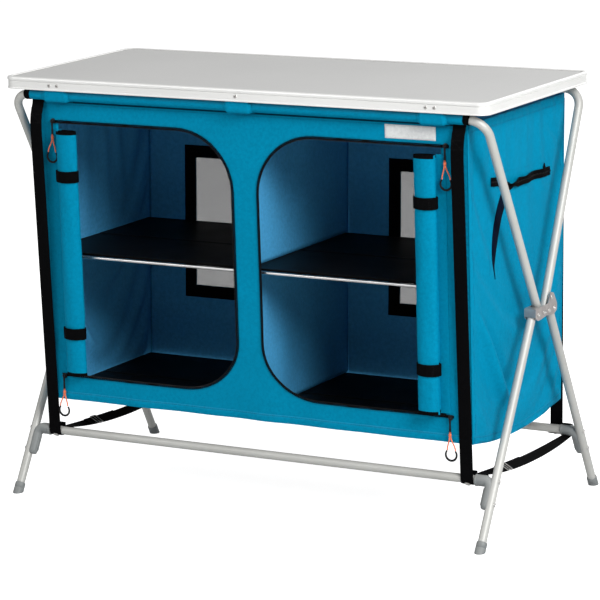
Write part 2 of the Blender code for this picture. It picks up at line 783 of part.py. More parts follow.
def make_foot_cap(side, name, pivot, foot, origin, mats):
    """A cup on the tube's end, cut level where it stands on the floor."""
    up = direction(foot, pivot)
    outer_r = TUBE_R + GAP + CAP_WALL
    inner_r = TUBE_R + GAP
    top = along(foot, up, CAP_FLOOR + CAP_LENGTH)
    stations = [
        (along(foot, up, -2 * CAP_OVERRUN), outer_r), (top, outer_r),
        (top, inner_r), (along(foot, up, CAP_FLOOR), inner_r),
    ]
    bm = bmesh.new()
    rings = [leg_ring(bm, side, p, up, LEG_X, r, r, 1.0) for p, r in stations]
    for first, second in zip(rings, rings[1:]):
        bridge(bm, first, second)
    bm.faces.new(rings[0])
    bm.faces.new(rings[-1])
    everything = bm.verts[:] + bm.edges[:] + bm.faces[:]
    cut = bmesh.ops.bisect_plane(
        bm, geom=everything, plane_co=(0, 0, 0), plane_no=(0, 0, -1), clear_outer=True
    )
    rim = [e for e in cut["geom_cut"] if isinstance(e, bmesh.types.BMEdge)]
    bmesh.ops.edgeloop_fill(bm, edges=rim)
    finish_object(name, bm, mats["grey_plastic"], smooth=True, origin=origin)


# Fold bracket


def web_inner_y():
    """Front web of the bracket, just clear of the open front leg, which it stops."""
    lean = FRONT_LEG_DOWN[0] / FRONT_LEG_DOWN[1]
    tube_front = FRONT_LEG_PIVOT_Y - BRACKET_WEB_DROP * lean - TUBE_R / abs(FRONT_LEG_DOWN[1])
    return tube_front - GAP


def bracket_outline():
    """Side plate, seen along X: a low body under the pivots and an ear at the rear."""
    front = web_inner_y() - BRACKET_SHEET
    top = PIVOT_Z + BRACKET_TOP
    foot = PIVOT_Z - BRACKET_FOOT
    ear = SECOND_RIVET
    corners = [
        (front, PIVOT_Z - BRACKET_WEB_DROP),
        (FRONT_LEG_PIVOT_Y - 0.003, foot),
        (FRONT_LEG_PIVOT_Y + 0.006, foot),
        (REAR_FRAME_PIVOT_Y - 0.010, foot + 0.003),
        (REAR_LEG_PIVOT_Y - 0.002, foot),
        (REAR_LEG_PIVOT_Y + BRACKET_REAR, PIVOT_Z - 0.005),
        (REAR_LEG_PIVOT_Y + BRACKET_REAR, PIVOT_Z + 0.008),
        (ear[0] + EAR_MARGIN, ear[1] + EAR_MARGIN * 0.8),
        (ear[0] - EAR_MARGIN * 0.6, ear[1] + EAR_MARGIN * 1.2),
        (ear[0] - EAR_MARGIN * 1.5, ear[1] - 0.002),
        (REAR_FRAME_PIVOT_Y - 0.006, top),
        (front, top),
    ]
    return rounded(corners, BRACKET_CORNER_R)


def make_bracket(side, name, mats):
    bm = bmesh.new()
    low, high = sorted((side * PLATE_INNER_X, side * PLATE_OUTER_X))
    add_prism(bm, bracket_outline(), low, high, across)
    bracket = finish_object(name, bm, mats["steel"])

    # The channel between the plates leaves the front web and the flange over the leg.
    far = CUT_REACH
    web = web_inner_y()
    web_foot = PIVOT_Z - BRACKET_WEB_DROP
    top = PIVOT_Z + BRACKET_TOP
    flange_end = FRONT_LEG_PIVOT_Y + BRACKET_FLANGE
    rear = REAR_LEG_PIVOT_Y + far
    channel = [
        (web, web_foot), (web, top - BRACKET_SHEET), (flange_end, top - BRACKET_SHEET),
        (flange_end, PIVOT_Z + far), (rear, PIVOT_Z + far), (rear, PIVOT_Z - far),
        (web - far, PIVOT_Z - far), (web - far, web_foot),
    ]
    bm = bmesh.new()
    inner = PLATE_INNER_X + BRACKET_SHEET
    outer = PLATE_OUTER_X - BRACKET_SHEET
    low, high = sorted((side * inner, side * outer))
    add_prism(bm, channel, low, high, across)
    boolean(bracket, cutter(name + "_channel", bm))

    # Only the outer plate carries the ear.
    ear = [(flange_end, top), (rear, top), (rear, PIVOT_Z + far), (flange_end, PIVOT_Z + far)]
    low, high = sorted((side * (PLATE_INNER_X - far), side * (inner + GAP)))
    bm = bmesh.new()
    add_prism(bm, ear, low, high, across)
    boolean(bracket, cutter(name + "_ear_trim", bm))

    # Bosses pressed into the outer plate hold it clear of the tubes, and the ear's
    # rivet through the rear leg's tongue is one solid with the plate.
    pivots = [FRONT_LEG_PIVOT, FRONT_FRAME_PIVOT, REAR_FRAME_PIVOT, REAR_LEG_PIVOT]
    bm = bmesh.new()
    for centre in pivots:
        add_turned(bm, centre, [(TONGUE_X, BOSS_R), (outer + GAP, BOSS_R)], side)
    add_turned(bm, SECOND_RIVET, [(TONGUE_X, RIVET_R)] + rivet_head(PLATE_OUTER_X), side)
    boolean(bracket, cutter(name + "_bosses", bm), "UNION")
    boolean(bracket, pivot_holes(name + "_holes", pivots))


def make_bracket_rivets(mats):
    """The four pivot rivets of each bracket, domed outside and inside the plates."""
    inner = PLATE_INNER_X - GAP
    outer = PLATE_OUTER_X + GAP
    places = (
        ("front_leg", FRONT_LEG_PIVOT), ("front_frame", FRONT_FRAME_PIVOT),
        ("rear_frame", REAR_FRAME_PIVOT), ("rear_leg", REAR_LEG_PIVOT),
    )
    inside = [(2 * inner - x, radius) for x, radius in reversed(rivet_head(inner))]
    for side, word in ((-1, "left"), (1, "right")):
        for place, centre in places:
            bm = bmesh.new()
            add_turned(bm, centre, inside + rivet_head(outer), side)
            name = f"{place}_rivet_{word}"
            finish_object(name, bm, mats["steel"], True, (0.0, *centre))


# Fabric cabinet


def sleeve_path(rail, bottom):
    """Panel from its lower edge up to the rail, then round the rail as a sleeve."""
    return [bottom] + arc(rail, SLEEVE_R, 0.0, SLEEVE_WRAP, 14)


def clamp_notches(rail_y, places, floor):
    bm = bmesh.new()
    half = CLAMP_WIDTH / 2 + CLAMP_PLAY
    for x in places:
        low = (x - half, rail_y - CUT_REACH / 2, floor)
        high = (x + half, rail_y + CUT_REACH / 2, RAIL_Z + CUT_REACH / 2)
        add_box(bm, low, high)
    return bm


def door_outline(side, grow=0.0, end_x=DOOR_OUTER_X):
    """D-shaped door edge from the outer top corner round the inner side to the bottom."""
    top = DOOR_TOP_Z + grow
    bottom = DOOR_BOTTOM_Z - grow
    inner = DOOR_INNER_X - grow
    rx, rz = DOOR_TOP_CORNER[0] + grow, DOOR_TOP_CORNER[1] + grow
    bx, bz = DOOR_BOTTOM_CORNER[0] + grow, DOOR_BOTTOM_CORNER[1] + grow
    points = [(end_x, top)]
    for k in range(DOOR_CORNER_STEPS + 1):
        angle = math.pi / 2 * k / DOOR_CORNER_STEPS
        points.append((inner + rx * (1 - math.sin(angle)), top - rz * (1 - math.cos(angle))))
    for k in range(DOOR_CORNER_STEPS + 1):
        angle = math.pi / 2 * k / DOOR_CORNER_STEPS
        points.append((inner + bx * (1 - math.cos(angle)), bottom + bz * (1 - math.sin(angle))))
    points.append((end_x, bottom))
    return [(side * x, z) for x, z in points]


def make_front_panel(mats):
    bm = bmesh.new()
    bottom = (front_y(FABRIC_BOTTOM_Z), FABRIC_BOTTOM_Z)
    outline = ribbon(sleeve_path(FRONT_RAIL, bottom), CLOTH)
    add_prism(bm, outline, -CABINET_X, CABINET_X, across)
    origin = (0.0, *FRONT_RAIL)
    panel = finish_object("front_panel", bm, mats["cloth"], origin=origin)
    bm = bmesh.new()
    for side in (-1, 1):
        y = front_y(DOOR_TOP_Z)
        add_prism(bm, door_outline(side), y - CUT_REACH / 2, y + CUT_REACH / 2, upright)
    boolean(panel, cutter("door_openings", bm))
    floor = RAIL_Z - SLEEVE_R - SLEEVE_NOTCH
    notches = clamp_notches(FRONT_RAIL_Y, (-CLAMP_X, 0.0, CLAMP_X), floor)
    boolean(panel, cutter("front_sleeve_notches", notches))


def make_back_panel(mats):
    bm = bmesh.new()
    bottom = (back_y(FABRIC_BOTTOM_Z), FABRIC_BOTTOM_Z)
    outline = ribbon(sleeve_path(REAR_RAIL, bottom), CLOTH)
    add_prism(bm, outline, -CABINET_X, CABINET_X, across)
    panel = finish_object("back_panel", bm, mats["cloth"], origin=(0.0, *FRONT_RAIL))
    bm = bmesh.new()
    for side in (-1, 1):
        xs = sorted((side * (WINDOW_INNER_X + WINDOW_BORDER), side * (WINDOW_OUTER_X - WINDOW_BORDER)))
        low = (xs[0], back_y(WINDOW_LOW_Z) - CUT_REACH / 2, WINDOW_LOW_Z + WINDOW_BORDER)
        high = (xs[1], back_y(WINDOW_LOW_Z) + CUT_REACH / 2, WINDOW_HIGH_Z - WINDOW_BORDER)
        add_box(bm, low, high)
    boolean(panel, cutter("window_openings", bm))
    notches = clamp_notches(REAR_RAIL_Y, (-CLAMP_X, CLAMP_X), RAIL_Z - CLIP_NOTCH_DROP)
    boolean(panel, cutter("back_sleeve_notches", notches))


def make_window_net(mats):
    """One net for both windows, sewn to the inner face of the back."""
    near = CLOTH / 2 + GAP
    far = near + MESH_SHEET
    outline = [
        (back_y(WINDOW_LOW_Z) - near, WINDOW_LOW_Z), (back_y(WINDOW_HIGH_Z) - near, WINDOW_HIGH_Z),
        (back_y(WINDOW_HIGH_Z) - far, WINDOW_HIGH_Z), (back_y(WINDOW_LOW_Z) - far, WINDOW_LOW_Z),
    ]
    bm = bmesh.new()
    add_prism(bm, outline, -WINDOW_OUTER_X, WINDOW_OUTER_X, across)
    finish_object("window_net", bm, mats["mesh"], origin=(0.0, *FRONT_RAIL))


def wall_outline(low_z, high_z):
    """Outline in Y and Z of a wall that fits between the front and the back."""
    front = CLOTH / 2 + GAP
    back = CLOTH / 2 + GAP
    mesh_room = MESH_SHEET + GAP
    return [
        (front_y(low_z) + front, low_z), (back_y(low_z) - back - mesh_room, low_z),
        (back_y(high_z) - back - mesh_room, high_z), (front_y(high_z) + front, high_z),
    ]


def make_side_panel(side, name, mats):
    bm = bmesh.new()
    low, high = sorted((side * (CABINET_X - CLOTH), side * CABINET_X))
    add_prism(bm, wall_outline(FABRIC_BOTTOM_Z, SIDE_TOP_Z), low, high, across)
    return finish_object(name, bm, mats["cloth"], origin=(0.0, *FRONT_RAIL))


def add_side_flap(panel):
    """The flap sewn on the right-hand side, with its zip along the front and the top."""
    bm = bmesh.new()
    sewn = CABINET_X - CLOTH / 2
    low = (sewn, FLAP_FRONT_Y + FLAP_ZIP_WIDTH + CLOTH, FLAP_LOW_Z)
    high = (CABINET_X + CLOTH, FLAP_REAR_Y, FLAP_HIGH_Z - FLAP_ZIP_WIDTH - CLOTH)
    add_box(bm, low, high)
    outline = [
        (FLAP_FRONT_Y, FLAP_LOW_Z), (FLAP_FRONT_Y + FLAP_ZIP_WIDTH, FLAP_LOW_Z),
        (FLAP_FRONT_Y + FLAP_ZIP_WIDTH, FLAP_HIGH_Z - FLAP_ZIP_WIDTH),
        (FLAP_REAR_Y, FLAP_HIGH_Z - FLAP_ZIP_WIDTH), (FLAP_REAR_Y, FLAP_HIGH_Z),
        (FLAP_FRONT_Y, FLAP_HIGH_Z),
    ]
    add_prism(bm, outline, sewn, CABINET_X + ZIP_SHEET, across)
    boolean(panel, cutter("side_flap", bm), "UNION")


def make_divider(mats):
    """Middle wall with a slot, open to the front, that the shelf boards lie in."""
    bm = bmesh.new()
    floor_top = FLOOR_UNDERSIDE_Z + BOARD + GAP
    add_prism(bm, wall_outline(floor_top, SIDE_TOP_Z), -CLOTH / 2, CLOTH / 2, across)
    divider = finish_object("divider_panel", bm, mats["cloth"], origin=(0.0, *FRONT_RAIL))
    bm = bmesh.new()
    for y in (front_rod_y(), rear_rod_y()):
        add_cross_bar(bm, (y, SHELF_ROD_Z), -CLOTH, CLOTH, ROD_R + GAP)
    boolean(divider, cutter("divider_rod_holes", bm))
    bm = bmesh.new()
    low = (-CLOTH, front_y(SHELF_ROD_Z) - CUT_REACH, SHELF_UNDERSIDE_Z - GAP)
    high = (CLOTH, board_rear_y(SHELF_UNDERSIDE_Z) + GAP, SHELF_UNDERSIDE_Z + BOARD + GAP)
    add_box(bm, low, high)
    boolean(divider, cutter("divider_shelf_slot", bm))


def make_label(mats):
    """Plain sewn patch above the right-hand door."""
    high_z = RAIL_Z - LABEL_DROP + LABEL_HEIGHT / 2
    low_z = high_z - LABEL_HEIGHT
    near = CLOTH / 2 + GAP
    far = near + LABEL_SHEET
    outline = [(front_y(low_z) - near, low_z), (front_y(high_z) - near, high_z)]
    outline += [(front_y(high_z) - far, high_z), (front_y(low_z) - far, low_z)]
    bm = bmesh.new()
    add_prism(bm, outline, LABEL_X - LABEL_WIDTH / 2, LABEL_X + LABEL_WIDTH / 2, across)
    finish_object("label_patch", bm, mats["label"], origin=(0.0, *FRONT_RAIL))


# Doors


def make_door_zip(side, name, mats):
    """Zip tape round the door edge, with its two parted sliders at the outer ends."""
    end_x = DOOR_OUTER_X + ZIP_OVERRUN
    inner = door_outline(side, end_x=end_x)
    outer = door_outline(side, ZIP_WIDTH, end_x)
    near = CLOTH / 2 + GAP
    far = near + ZIP_SHEET
    bm = bmesh.new()
    rows = []
    for points, depth in ((inner, near), (outer, near), (outer, far), (inner, far)):
        rows.append([bm.verts.new((x, front_y(z) - depth, z)) for x, z in points])
    for i, row in enumerate(rows):
        following = rows[(i + 1) % len(rows)]
        for k in range(len(row) - 1):
            bm.faces.new((row[k], row[k + 1], following[k + 1], following[k]))
    for end in (0, -1):
        bm.faces.new([row[end] for row in rows])
    tape = finish_object(name, bm, mats["webbing"], origin=(0.0, *FRONT_RAIL))
    bm = bmesh.new()
    for z in (slider_z("top"), slider_z("bottom")):
        add_slider(bm, side * slider_x(), z)
    boolean(tape, cutter(name + "_sliders", bm), "UNION")


def slider_x():
    return DOOR_OUTER_X + SLIDER_OUT


def slider_z(word):
    if word == "top":
        return DOOR_TOP_Z + ZIP_WIDTH / 2
    return DOOR_BOTTOM_Z - ZIP_WIDTH / 2


def roll_outline(side):
    """Rolled door from above as (x, distance in front of the panel's mid-plane)."""
    seat = CLOTH / 2 + GAP
    middle = seat + TIE_SHEET + ROLL_HALF_DEPTH
    hem_x = DOOR_OUTER_X + ROLL_HEM
    points = []
    for k in range(ROLL_SIDES + 1):
        angle = math.radians(-40.0 + 335.0 * k / ROLL_SIDES)
        x = ROLL_X + ROLL_HALF_WIDTH * math.cos(angle)
        points.append((x, middle + ROLL_HALF_DEPTH * math.sin(angle)))
    points.append((ROLL_X + ROLL_HALF_WIDTH * 0.5, seat))
    points.append((hem_x, seat))
    points.append((hem_x, seat + CLOTH))
    points.append((DOOR_OUTER_X + GAP, seat + CLOTH + GAP))
    return [(side * x, depth) for x, depth in points]


def tie_outline(side):
    """A tie seen from above, drawn tight round the roll."""
    middle = CLOTH / 2 + GAP + TIE_SHEET + ROLL_HALF_DEPTH
    half_width = ROLL_HALF_WIDTH + TIE_SHEET
    half_depth = ROLL_HALF_DEPTH + TIE_SHEET * 0.8
    points = []
    for k in range(ROLL_SIDES):
        angle = 2 * math.pi * k / ROLL_SIDES
        points.append((ROLL_X + half_width * math.cos(angle), middle + half_depth * math.sin(angle)))
    return [(side * x, depth) for x, depth in points]


def in_front(x, depth, z):
    return (x, front_y(z) - depth, z)


def make_rolled_door(side, name, mats):
    """A door rolled up sideways, one solid with the two ties round it."""
    bm = bmesh.new()
    low = DOOR_BOTTOM_Z + ROLL_SHORT_BOTTOM
    high = DOOR_TOP_Z - ROLL_SHORT_TOP
    add_prism(bm, roll_outline(side), low, high, in_front)
    roll = finish_object(name, bm, mats["cloth"], smooth=True, origin=(0.0, *FRONT_RAIL))
    bm = bmesh.new()
    half = TIE_WIDTH / 2
    for z in (DOOR_TOP_Z - TIE_FROM_TOP, DOOR_BOTTOM_Z + TIE_FROM_BOTTOM):
        add_prism(bm, tie_outline(side), z - half, z + half, in_front)
    boolean(roll, cutter(name + "_ties", bm), "UNION")


def slider_places():
    """Name, side and height of the four sliders, parked at the outer zip ends."""
    places = []
    for side, word in ((-1, "left"), (1, "right")):
        for end in ("top", "bottom"):
            places.append((end + "_" + word, side, slider_z(end)))
    return places


def add_slider(bm, x, z):
    """Slider body with two lugs, between which the pull tab swings."""
    back = slider_back_y(z)
    body_front = back - SLIDER_DEPTH
    lug_front = body_front - SLIDER_LUG_REACH
    half = SLIDER_WIDTH / 2
    lug_in = TAB_WIDTH / 2 + GAP
    lug_out = lug_in + SLIDER_LUG
    outline = [
        (x - half, back), (x + half, back), (x + half, body_front),
        (x + lug_out, body_front), (x + lug_out, lug_front), (x + lug_in, lug_front),
        (x + lug_in, body_front), (x - lug_in, body_front), (x - lug_in, lug_front),
        (x - lug_out, lug_front), (x - lug_out, body_front), (x - half, body_front),
    ]
    add_prism(bm, outline, z - SLIDER_HEIGHT / 2, z + SLIDER_HEIGHT / 2, level)


def slider_back_y(z):
    return front_y(z) - CLOTH / 2 - GAP


def pull_axis_y(z):
    return slider_back_y(z) - SLIDER_DEPTH - SLIDER_LUG_REACH / 2


def pull_loop_path(x, y, top_z):
    """Closed loop of cord, wide at the bottom, that hangs from the tab."""
    low_z = top_z - PULL_LOOP + PULL_LOOP_HALF
    points = []
    for centre_z, radius, start in ((low_z, PULL_LOOP_HALF, -180.0), (top_z, PULL_LOOP_TOP, 0.0)):
        points += [Vector((px, y, pz)) for px, pz in arc((x, centre_z), radius, start, start + 180, 6)]
    return points


def add_ring_tube(bm, path, radius, sides, side_axis):
    """A closed ring of cord."""
    rings = []
    count = len(path)
    for i, point in enumerate(path):
        tangent = (path[(i + 1) % count] - path[i - 1]).normalized()
        u = side_axis
        v = tangent.cross(u)
        ring = []
        for k in range(sides):
            angle = 2 * math.pi * (k + 0.5) / sides
            offset = u * (radius * math.cos(angle)) + v * (radius * math.sin(angle))
            ring.append(bm.verts.new(point + offset))
        rings.append(ring)
    for i, ring in enumerate(rings):
        bridge(bm, ring, rings[(i + 1) % count])


def make_zip_pulls(mats):
    for word, side, z in slider_places():
        x = side * slider_x()
        y = pull_axis_y(z)
        name = "zip_pull_" + word
        bm = bmesh.new()
        half = TAB_SHEET / 2
        low = (x - TAB_WIDTH / 2, y - half, z - TAB_LENGTH)
        high = (x + TAB_WIDTH / 2, y + half, z + TAB_WIDTH / 2)
        add_box(bm, low, high)
        pull = finish_object(name, bm, mats["cord"], smooth=True, origin=(x, y, z))
        bm = bmesh.new()
        path = pull_loop_path(x, y, z - TAB_LENGTH)
        add_ring_tube(bm, path, PULL_CORD_R, 8, Vector((0, 1, 0)))
        boolean(pull, cutter(name + "_loop", bm), "UNION")


# Shelf and floor


def front_rod_y():
    return front_y(SHELF_ROD_Z) + ROD_TO_PANEL


def rear_rod_y():
    return back_y(SHELF_ROD_Z) - REAR_ROD_INSET - ROD_R


def floor_hinge_y():
    return front_y(FLOOR_UNDERSIDE_Z) + CLOTH / 2 + BOARD + 2 * GAP


def board_rear_y(z):
    return back_y(z) - CLOTH / 2 - BOARD_REAR_INSET


def make_board(name, front, rear, underside, origin, mats):
    """A stiff board across the whole cabinet, with a groove under the divider."""
    reach = CABINET_X - CLOTH - BOARD_SIDE_GAP
    half = CLOTH / 2 + GAP
    top = underside + BOARD
    outline = [
        (-reach, underside), (reach, underside), (reach, top), (half, top),
        (half, top - BOARD_GROOVE), (-half, top - BOARD_GROOVE), (-half, top), (-reach, top),
    ]
    bm = bmesh.new()
    add_prism(bm, outline, front, rear, upright)
    finish_object(name, bm, mats["webbing"], origin=origin)


def make_shelf(mats):
    front = front_rod_y()
    rear = board_rear_y(SHELF_UNDERSIDE_Z)
    fold = (front + rear) / 2
    hinge = (0.0, front, SHELF_ROD_Z)
    crease = (0.0, fold, SHELF_UNDERSIDE_Z)
    make_board("shelf_board_front", front, fold - BOARD_FOLD_GAP, SHELF_UNDERSIDE_Z, hinge, mats)
    make_board("shelf_board_rear", fold + BOARD_FOLD_GAP, rear, SHELF_UNDERSIDE_Z, crease, mats)
    reach = CABINET_X - CLOTH - GAP
    for name, y, origin in (
        ("shelf_rod_front", front, hinge), ("shelf_rod_rear", rear_rod_y(), crease),
    ):
        bm = bmesh.new()
        add_cross_bar(bm, (y, SHELF_ROD_Z), -reach, reach, ROD_R)
        finish_object(name, bm, mats["anodised"], smooth=True, origin=origin)


def make_floor(mats):
    front = floor_hinge_y()
    rear = board_rear_y(FLOOR_UNDERSIDE_Z)
    fold = (front + rear) / 2
    hinge = (0.0, front, FLOOR_UNDERSIDE_Z)
    crease = (0.0, fold, FLOOR_UNDERSIDE_Z)
    make_board("floor_board_front", front, fold - BOARD_FOLD_GAP, FLOOR_UNDERSIDE_Z, hinge, mats)
    make_board("floor_board_rear", fold + BOARD_FOLD_GAP, rear, FLOOR_UNDERSIDE_Z, crease, mats)


# Webbing


def make_corner_strap(side, name, path, crossbar, facing, mats):
    """Strap with the press stud that closes its loop, level with the crossbar."""
    bm = bmesh.new()
    outline = ribbon(path, WEBBING)
    low = side * CORNER_STRAP_X - WEBBING_WIDTH / 2
    add_prism(bm, outline, low, low + WEBBING_WIDTH, across)
    strap = finish_object(name, bm, mats["webbing"], smooth=True, origin=(0.0, *FRONT_RAIL))
    bm = bmesh.new()
    seat = crossbar[0] + facing * (TUBE_R + GAP + WEBBING / 2)
    rings = []
    for depth, share in ((0.0, 1.0), (WEBBING / 2 + STUD * 0.5, 0.95), (WEBBING / 2 + STUD, 0.6)):
        y = seat + facing * depth
        rings.append(screw_ring(bm, side * CORNER_STRAP_X, y, crossbar[1], STUD_R * share, 12))
    for first, second in zip(rings, rings[1:]):
        bridge(bm, first, second)
    bm.faces.new(rings[0])
    bm.faces.new(rings[-1])
    boolean(strap, cutter(name + "_stud", bm), "UNION")


def front_strap_path():
    """Down the front from the rail sleeve, under the crossbar and up behind it."""
    outside = TUBE_R + GAP + WEBBING / 2
    top = (FRONT_RAIL_Y - SLEEVE_R - CLOTH / 2 - GAP - WEBBING / 2, RAIL_Z)
    loop = arc(FRONT_CROSSBAR, outside, 180, 350, 9)
    end = (loop[-1][0], loop[-1][1] + STRAP_RETURN)
    return [top] + loop + [end]


def rear_strap_path():
    outside = TUBE_R + GAP + WEBBING / 2
    top = (REAR_RAIL_Y + SLEEVE_R + CLOTH / 2 + GAP + WEBBING / 2, RAIL_Z)
    loop = arc(REAR_CROSSBAR, outside, 360, 190, 9)
    end = (loop[-1][0], loop[-1][1] + STRAP_RETURN)
    return [top] + loop + [end]


def cross_strap_span(hold_r):
    """Sagging run from the top of the front hold to the top of the rear one."""
    outside = hold_r + GAP + WEBBING / 2
    start = (FRONT_CROSSBAR[0], FRONT_CROSSBAR[1] + outside)
    end = (REAR_CROSSBAR[0], REAR_CROSSBAR[1] + outside)
    points = []
    for k in range(1, 12):
        t = k / 12
        y = start[0] + (end[0] - start[0]) * t
        z = start[1] + (end[1] - start[1]) * t - CROSS_STRAP_SAG * 4 * t * (1 - t)
        points.append((y, z))
    return points


def make_cross_strap(name, x, hold_r, mats):
    """Strap looped round both lower bars, with its sliding buckle lying on it."""
    outside = hold_r + GAP + WEBBING / 2
    front_loop = arc(FRONT_CROSSBAR, outside, 300, 95, 12)
    rear_loop = arc(REAR_CROSSBAR, outside, 85, -120, 12)
    half = CROSS_STRAP_WIDTH / 2
    bm = bmesh.new()
    outline = ribbon(front_loop + cross_strap_span(hold_r) + rear_loop, WEBBING)
    add_prism(bm, outline, x - half, x + half, across)
    strap = finish_object(name, bm, mats["webbing"], smooth=True, origin=(0.0, *REAR_CROSSBAR))
    bm = bmesh.new()
    front = BUCKLE_Y - BUCKLE_LENGTH / 2
    rear = BUCKLE_Y + BUCKLE_LENGTH / 2
    near = strap_height(front, hold_r)
    far = strap_height(rear, hold_r)
    rise = WEBBING / 2 + BUCKLE_SHEET
    plate = [(front, near), (rear, far), (rear, far + rise), (front, near + rise)]
    add_prism(bm, plate, x - half, x + half, across)
    boolean(strap, cutter(name + "_buckle", bm), "UNION")


def strap_height(y, hold_r):
    points = cross_strap_span(hold_r)
    for first, second in zip(points, points[1:]):
        if first[0] <= y <= second[0]:
            return first[1] + (second[1] - first[1]) * (y - first[0]) / (second[0] - first[0])
    return points[0][1]


def main():
    for obj in list(bpy.data.objects):
        bpy.data.objects.remove(obj, do_unlink=True)
    mats = make_materials()
    make_worktop(mats)
    make_clamps(mats)
    make_upper_frame("front_upper_frame", FRONT_FRAME_PIVOT, FRONT_RAIL, mats)
    make_upper_frame("rear_upper_frame", REAR_FRAME_PIVOT, REAR_RAIL, mats)
    front_origin = (0.0, *FRONT_LEG_PIVOT)
    rear_origin = (0.0, *REAR_LEG_PIVOT)
    front_leg = (FRONT_CROSSBAR, FRONT_LEG_PIVOT, FRONT_LEG_DOWN, front_origin, mats)
    rear_leg = (REAR_CROSSBAR, REAR_LEG_PIVOT, REAR_LEG_DOWN, rear_origin, mats)
    make_crossbar("front_crossbar", FRONT_CROSSBAR, front_origin, mats)
    make_crossbar("rear_crossbar", REAR_CROSSBAR, rear_origin, mats)
    for side, word in ((-1, "left"), (1, "right")):
        make_front_leg(side, "front_leg_" + word, mats)
        make_rear_leg(side, "rear_leg_" + word, mats)
        make_elbow(side, "front_elbow_" + word, *front_leg)
        make_elbow(side, "rear_elbow_" + word, *rear_leg)
        make_foot_cap(side, "front_foot_cap_" + word, FRONT_LEG_PIVOT, FRONT_FOOT, front_origin, mats)
        make_foot_cap(side, "rear_foot_cap_" + word, REAR_LEG_PIVOT, REAR_FOOT, rear_origin, mats)
        make_bracket(side, "fold_bracket_" + word, mats)
        panel = make_side_panel(side, "side_panel_" + word, mats)
        if side == 1:
            add_side_flap(panel)
        make_door_zip(side, "door_zip_" + word, mats)
        make_rolled_door(side, "rolled_door_" + word, mats)
        make_corner_strap(side, "front_strap_" + word, front_strap_path(), FRONT_CROSSBAR, -1, mats)
        make_corner_strap(side, "rear_strap_" + word, rear_strap_path(), REAR_CROSSBAR, 1, mats)
    make_bracket_rivets(mats)
    make_front_panel(mats)
    make_back_panel(mats)
    make_divider(mats)
    make_window_net(mats)
    make_label(mats)
    make_zip_pulls(mats)
    make_shelf(mats)
    make_floor(mats)

    # The left strap is looped on the bars inside the corner straps, the right one on the sockets.
    half_strap = CROSS_STRAP_WIDTH / 2 + STRAP_CLEAR
    inner_x = CORNER_STRAP_X - WEBBING_WIDTH / 2 - half_strap
    make_cross_strap("cross_strap_left", -inner_x, TUBE_R, mats)
    make_cross_strap("cross_strap_right", SOCKET_X + half_strap, SOCKET_R, mats)


main()
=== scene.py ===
import math

import bmesh
import bpy
import numpy as np
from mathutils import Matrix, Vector, noise
from mathutils.geometry import delaunay_2d_cdt


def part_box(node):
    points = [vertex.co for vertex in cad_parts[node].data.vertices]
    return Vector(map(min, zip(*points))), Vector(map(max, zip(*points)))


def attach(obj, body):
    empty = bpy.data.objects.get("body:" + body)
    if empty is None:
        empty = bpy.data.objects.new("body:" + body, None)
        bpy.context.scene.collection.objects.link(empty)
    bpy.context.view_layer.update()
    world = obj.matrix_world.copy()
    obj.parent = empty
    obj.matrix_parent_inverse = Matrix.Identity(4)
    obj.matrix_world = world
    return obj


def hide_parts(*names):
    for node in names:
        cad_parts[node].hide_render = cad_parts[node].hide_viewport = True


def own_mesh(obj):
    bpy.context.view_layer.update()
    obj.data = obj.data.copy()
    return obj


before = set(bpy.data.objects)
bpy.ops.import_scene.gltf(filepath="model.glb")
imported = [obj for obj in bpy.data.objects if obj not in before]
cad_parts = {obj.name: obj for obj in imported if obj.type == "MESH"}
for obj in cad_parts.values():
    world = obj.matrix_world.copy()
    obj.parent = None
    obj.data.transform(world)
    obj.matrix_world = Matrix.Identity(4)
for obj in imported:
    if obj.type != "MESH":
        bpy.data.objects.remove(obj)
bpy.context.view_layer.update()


# Studio
# A wide pale floor and an even white surround, with one large soft lamp at the
# front right and a weaker one at the left. The camera stands where the
# photographer stood, a little above the worktop and to its right.

scene = bpy.context.scene
scene.view_settings.view_transform = "Standard"
scene.view_settings.look = "None"

CAMERA_PLACE = Vector((2.775, -5.0351, 1.5756))
CAMERA_YAW, CAMERA_PITCH, CAMERA_ROLL = 0.5041, 0.2070, -0.0209
CAMERA_LENS = 186.71

camera_data = bpy.data.cameras.new("camera")
camera_data.lens = CAMERA_LENS
camera_data.sensor_width = 36.0
camera = bpy.data.objects.new("camera", camera_data)
scene.collection.objects.link(camera)
scene.camera = camera
ahead = Vector((
    -math.sin(CAMERA_YAW) * math.cos(CAMERA_PITCH),
    math.cos(CAMERA_YAW) * math.cos(CAMERA_PITCH), -math.sin(CAMERA_PITCH),
))
level_right = Vector((math.cos(CAMERA_YAW), math.sin(CAMERA_YAW), 0.0))
level_up = level_right.cross(ahead)
cos_roll, sin_roll = math.cos(CAMERA_ROLL), math.sin(CAMERA_ROLL)
right = level_right * cos_roll + level_up * sin_roll
up = level_up * cos_roll - level_right * sin_roll
for row in range(3):
    camera.matrix_world[row][0] = right[row]
    camera.matrix_world[row][1] = up[row]
    camera.matrix_world[row][2] = -ahead[row]
    camera.matrix_world[row][3] = CAMERA_PLACE[row]


def put(tree, kind, sockets=None, **settings):
    """Adds a node; a socket given as a value is set, and one given as a socket is linked."""
    node = tree.nodes.new(kind)
    for name, value in settings.items():
        setattr(node, name, value)
    for name, value in (sockets or {}).items():
        target = node.inputs[name]
        if isinstance(value, bpy.types.NodeSocket):
            tree.links.new(value, target)
        else:
            target.default_value = value
    return node


def tint(red, green, blue):
    """A colour given as 0 to 255 on screen, as the shader's own light values."""
    values = []
    for step in (red, green, blue):
        share = step / 255
        values.append(share / 12.92 if share <= 0.04045 else ((share + 0.055) / 1.055) ** 2.4)
    return (*values, 1.0)


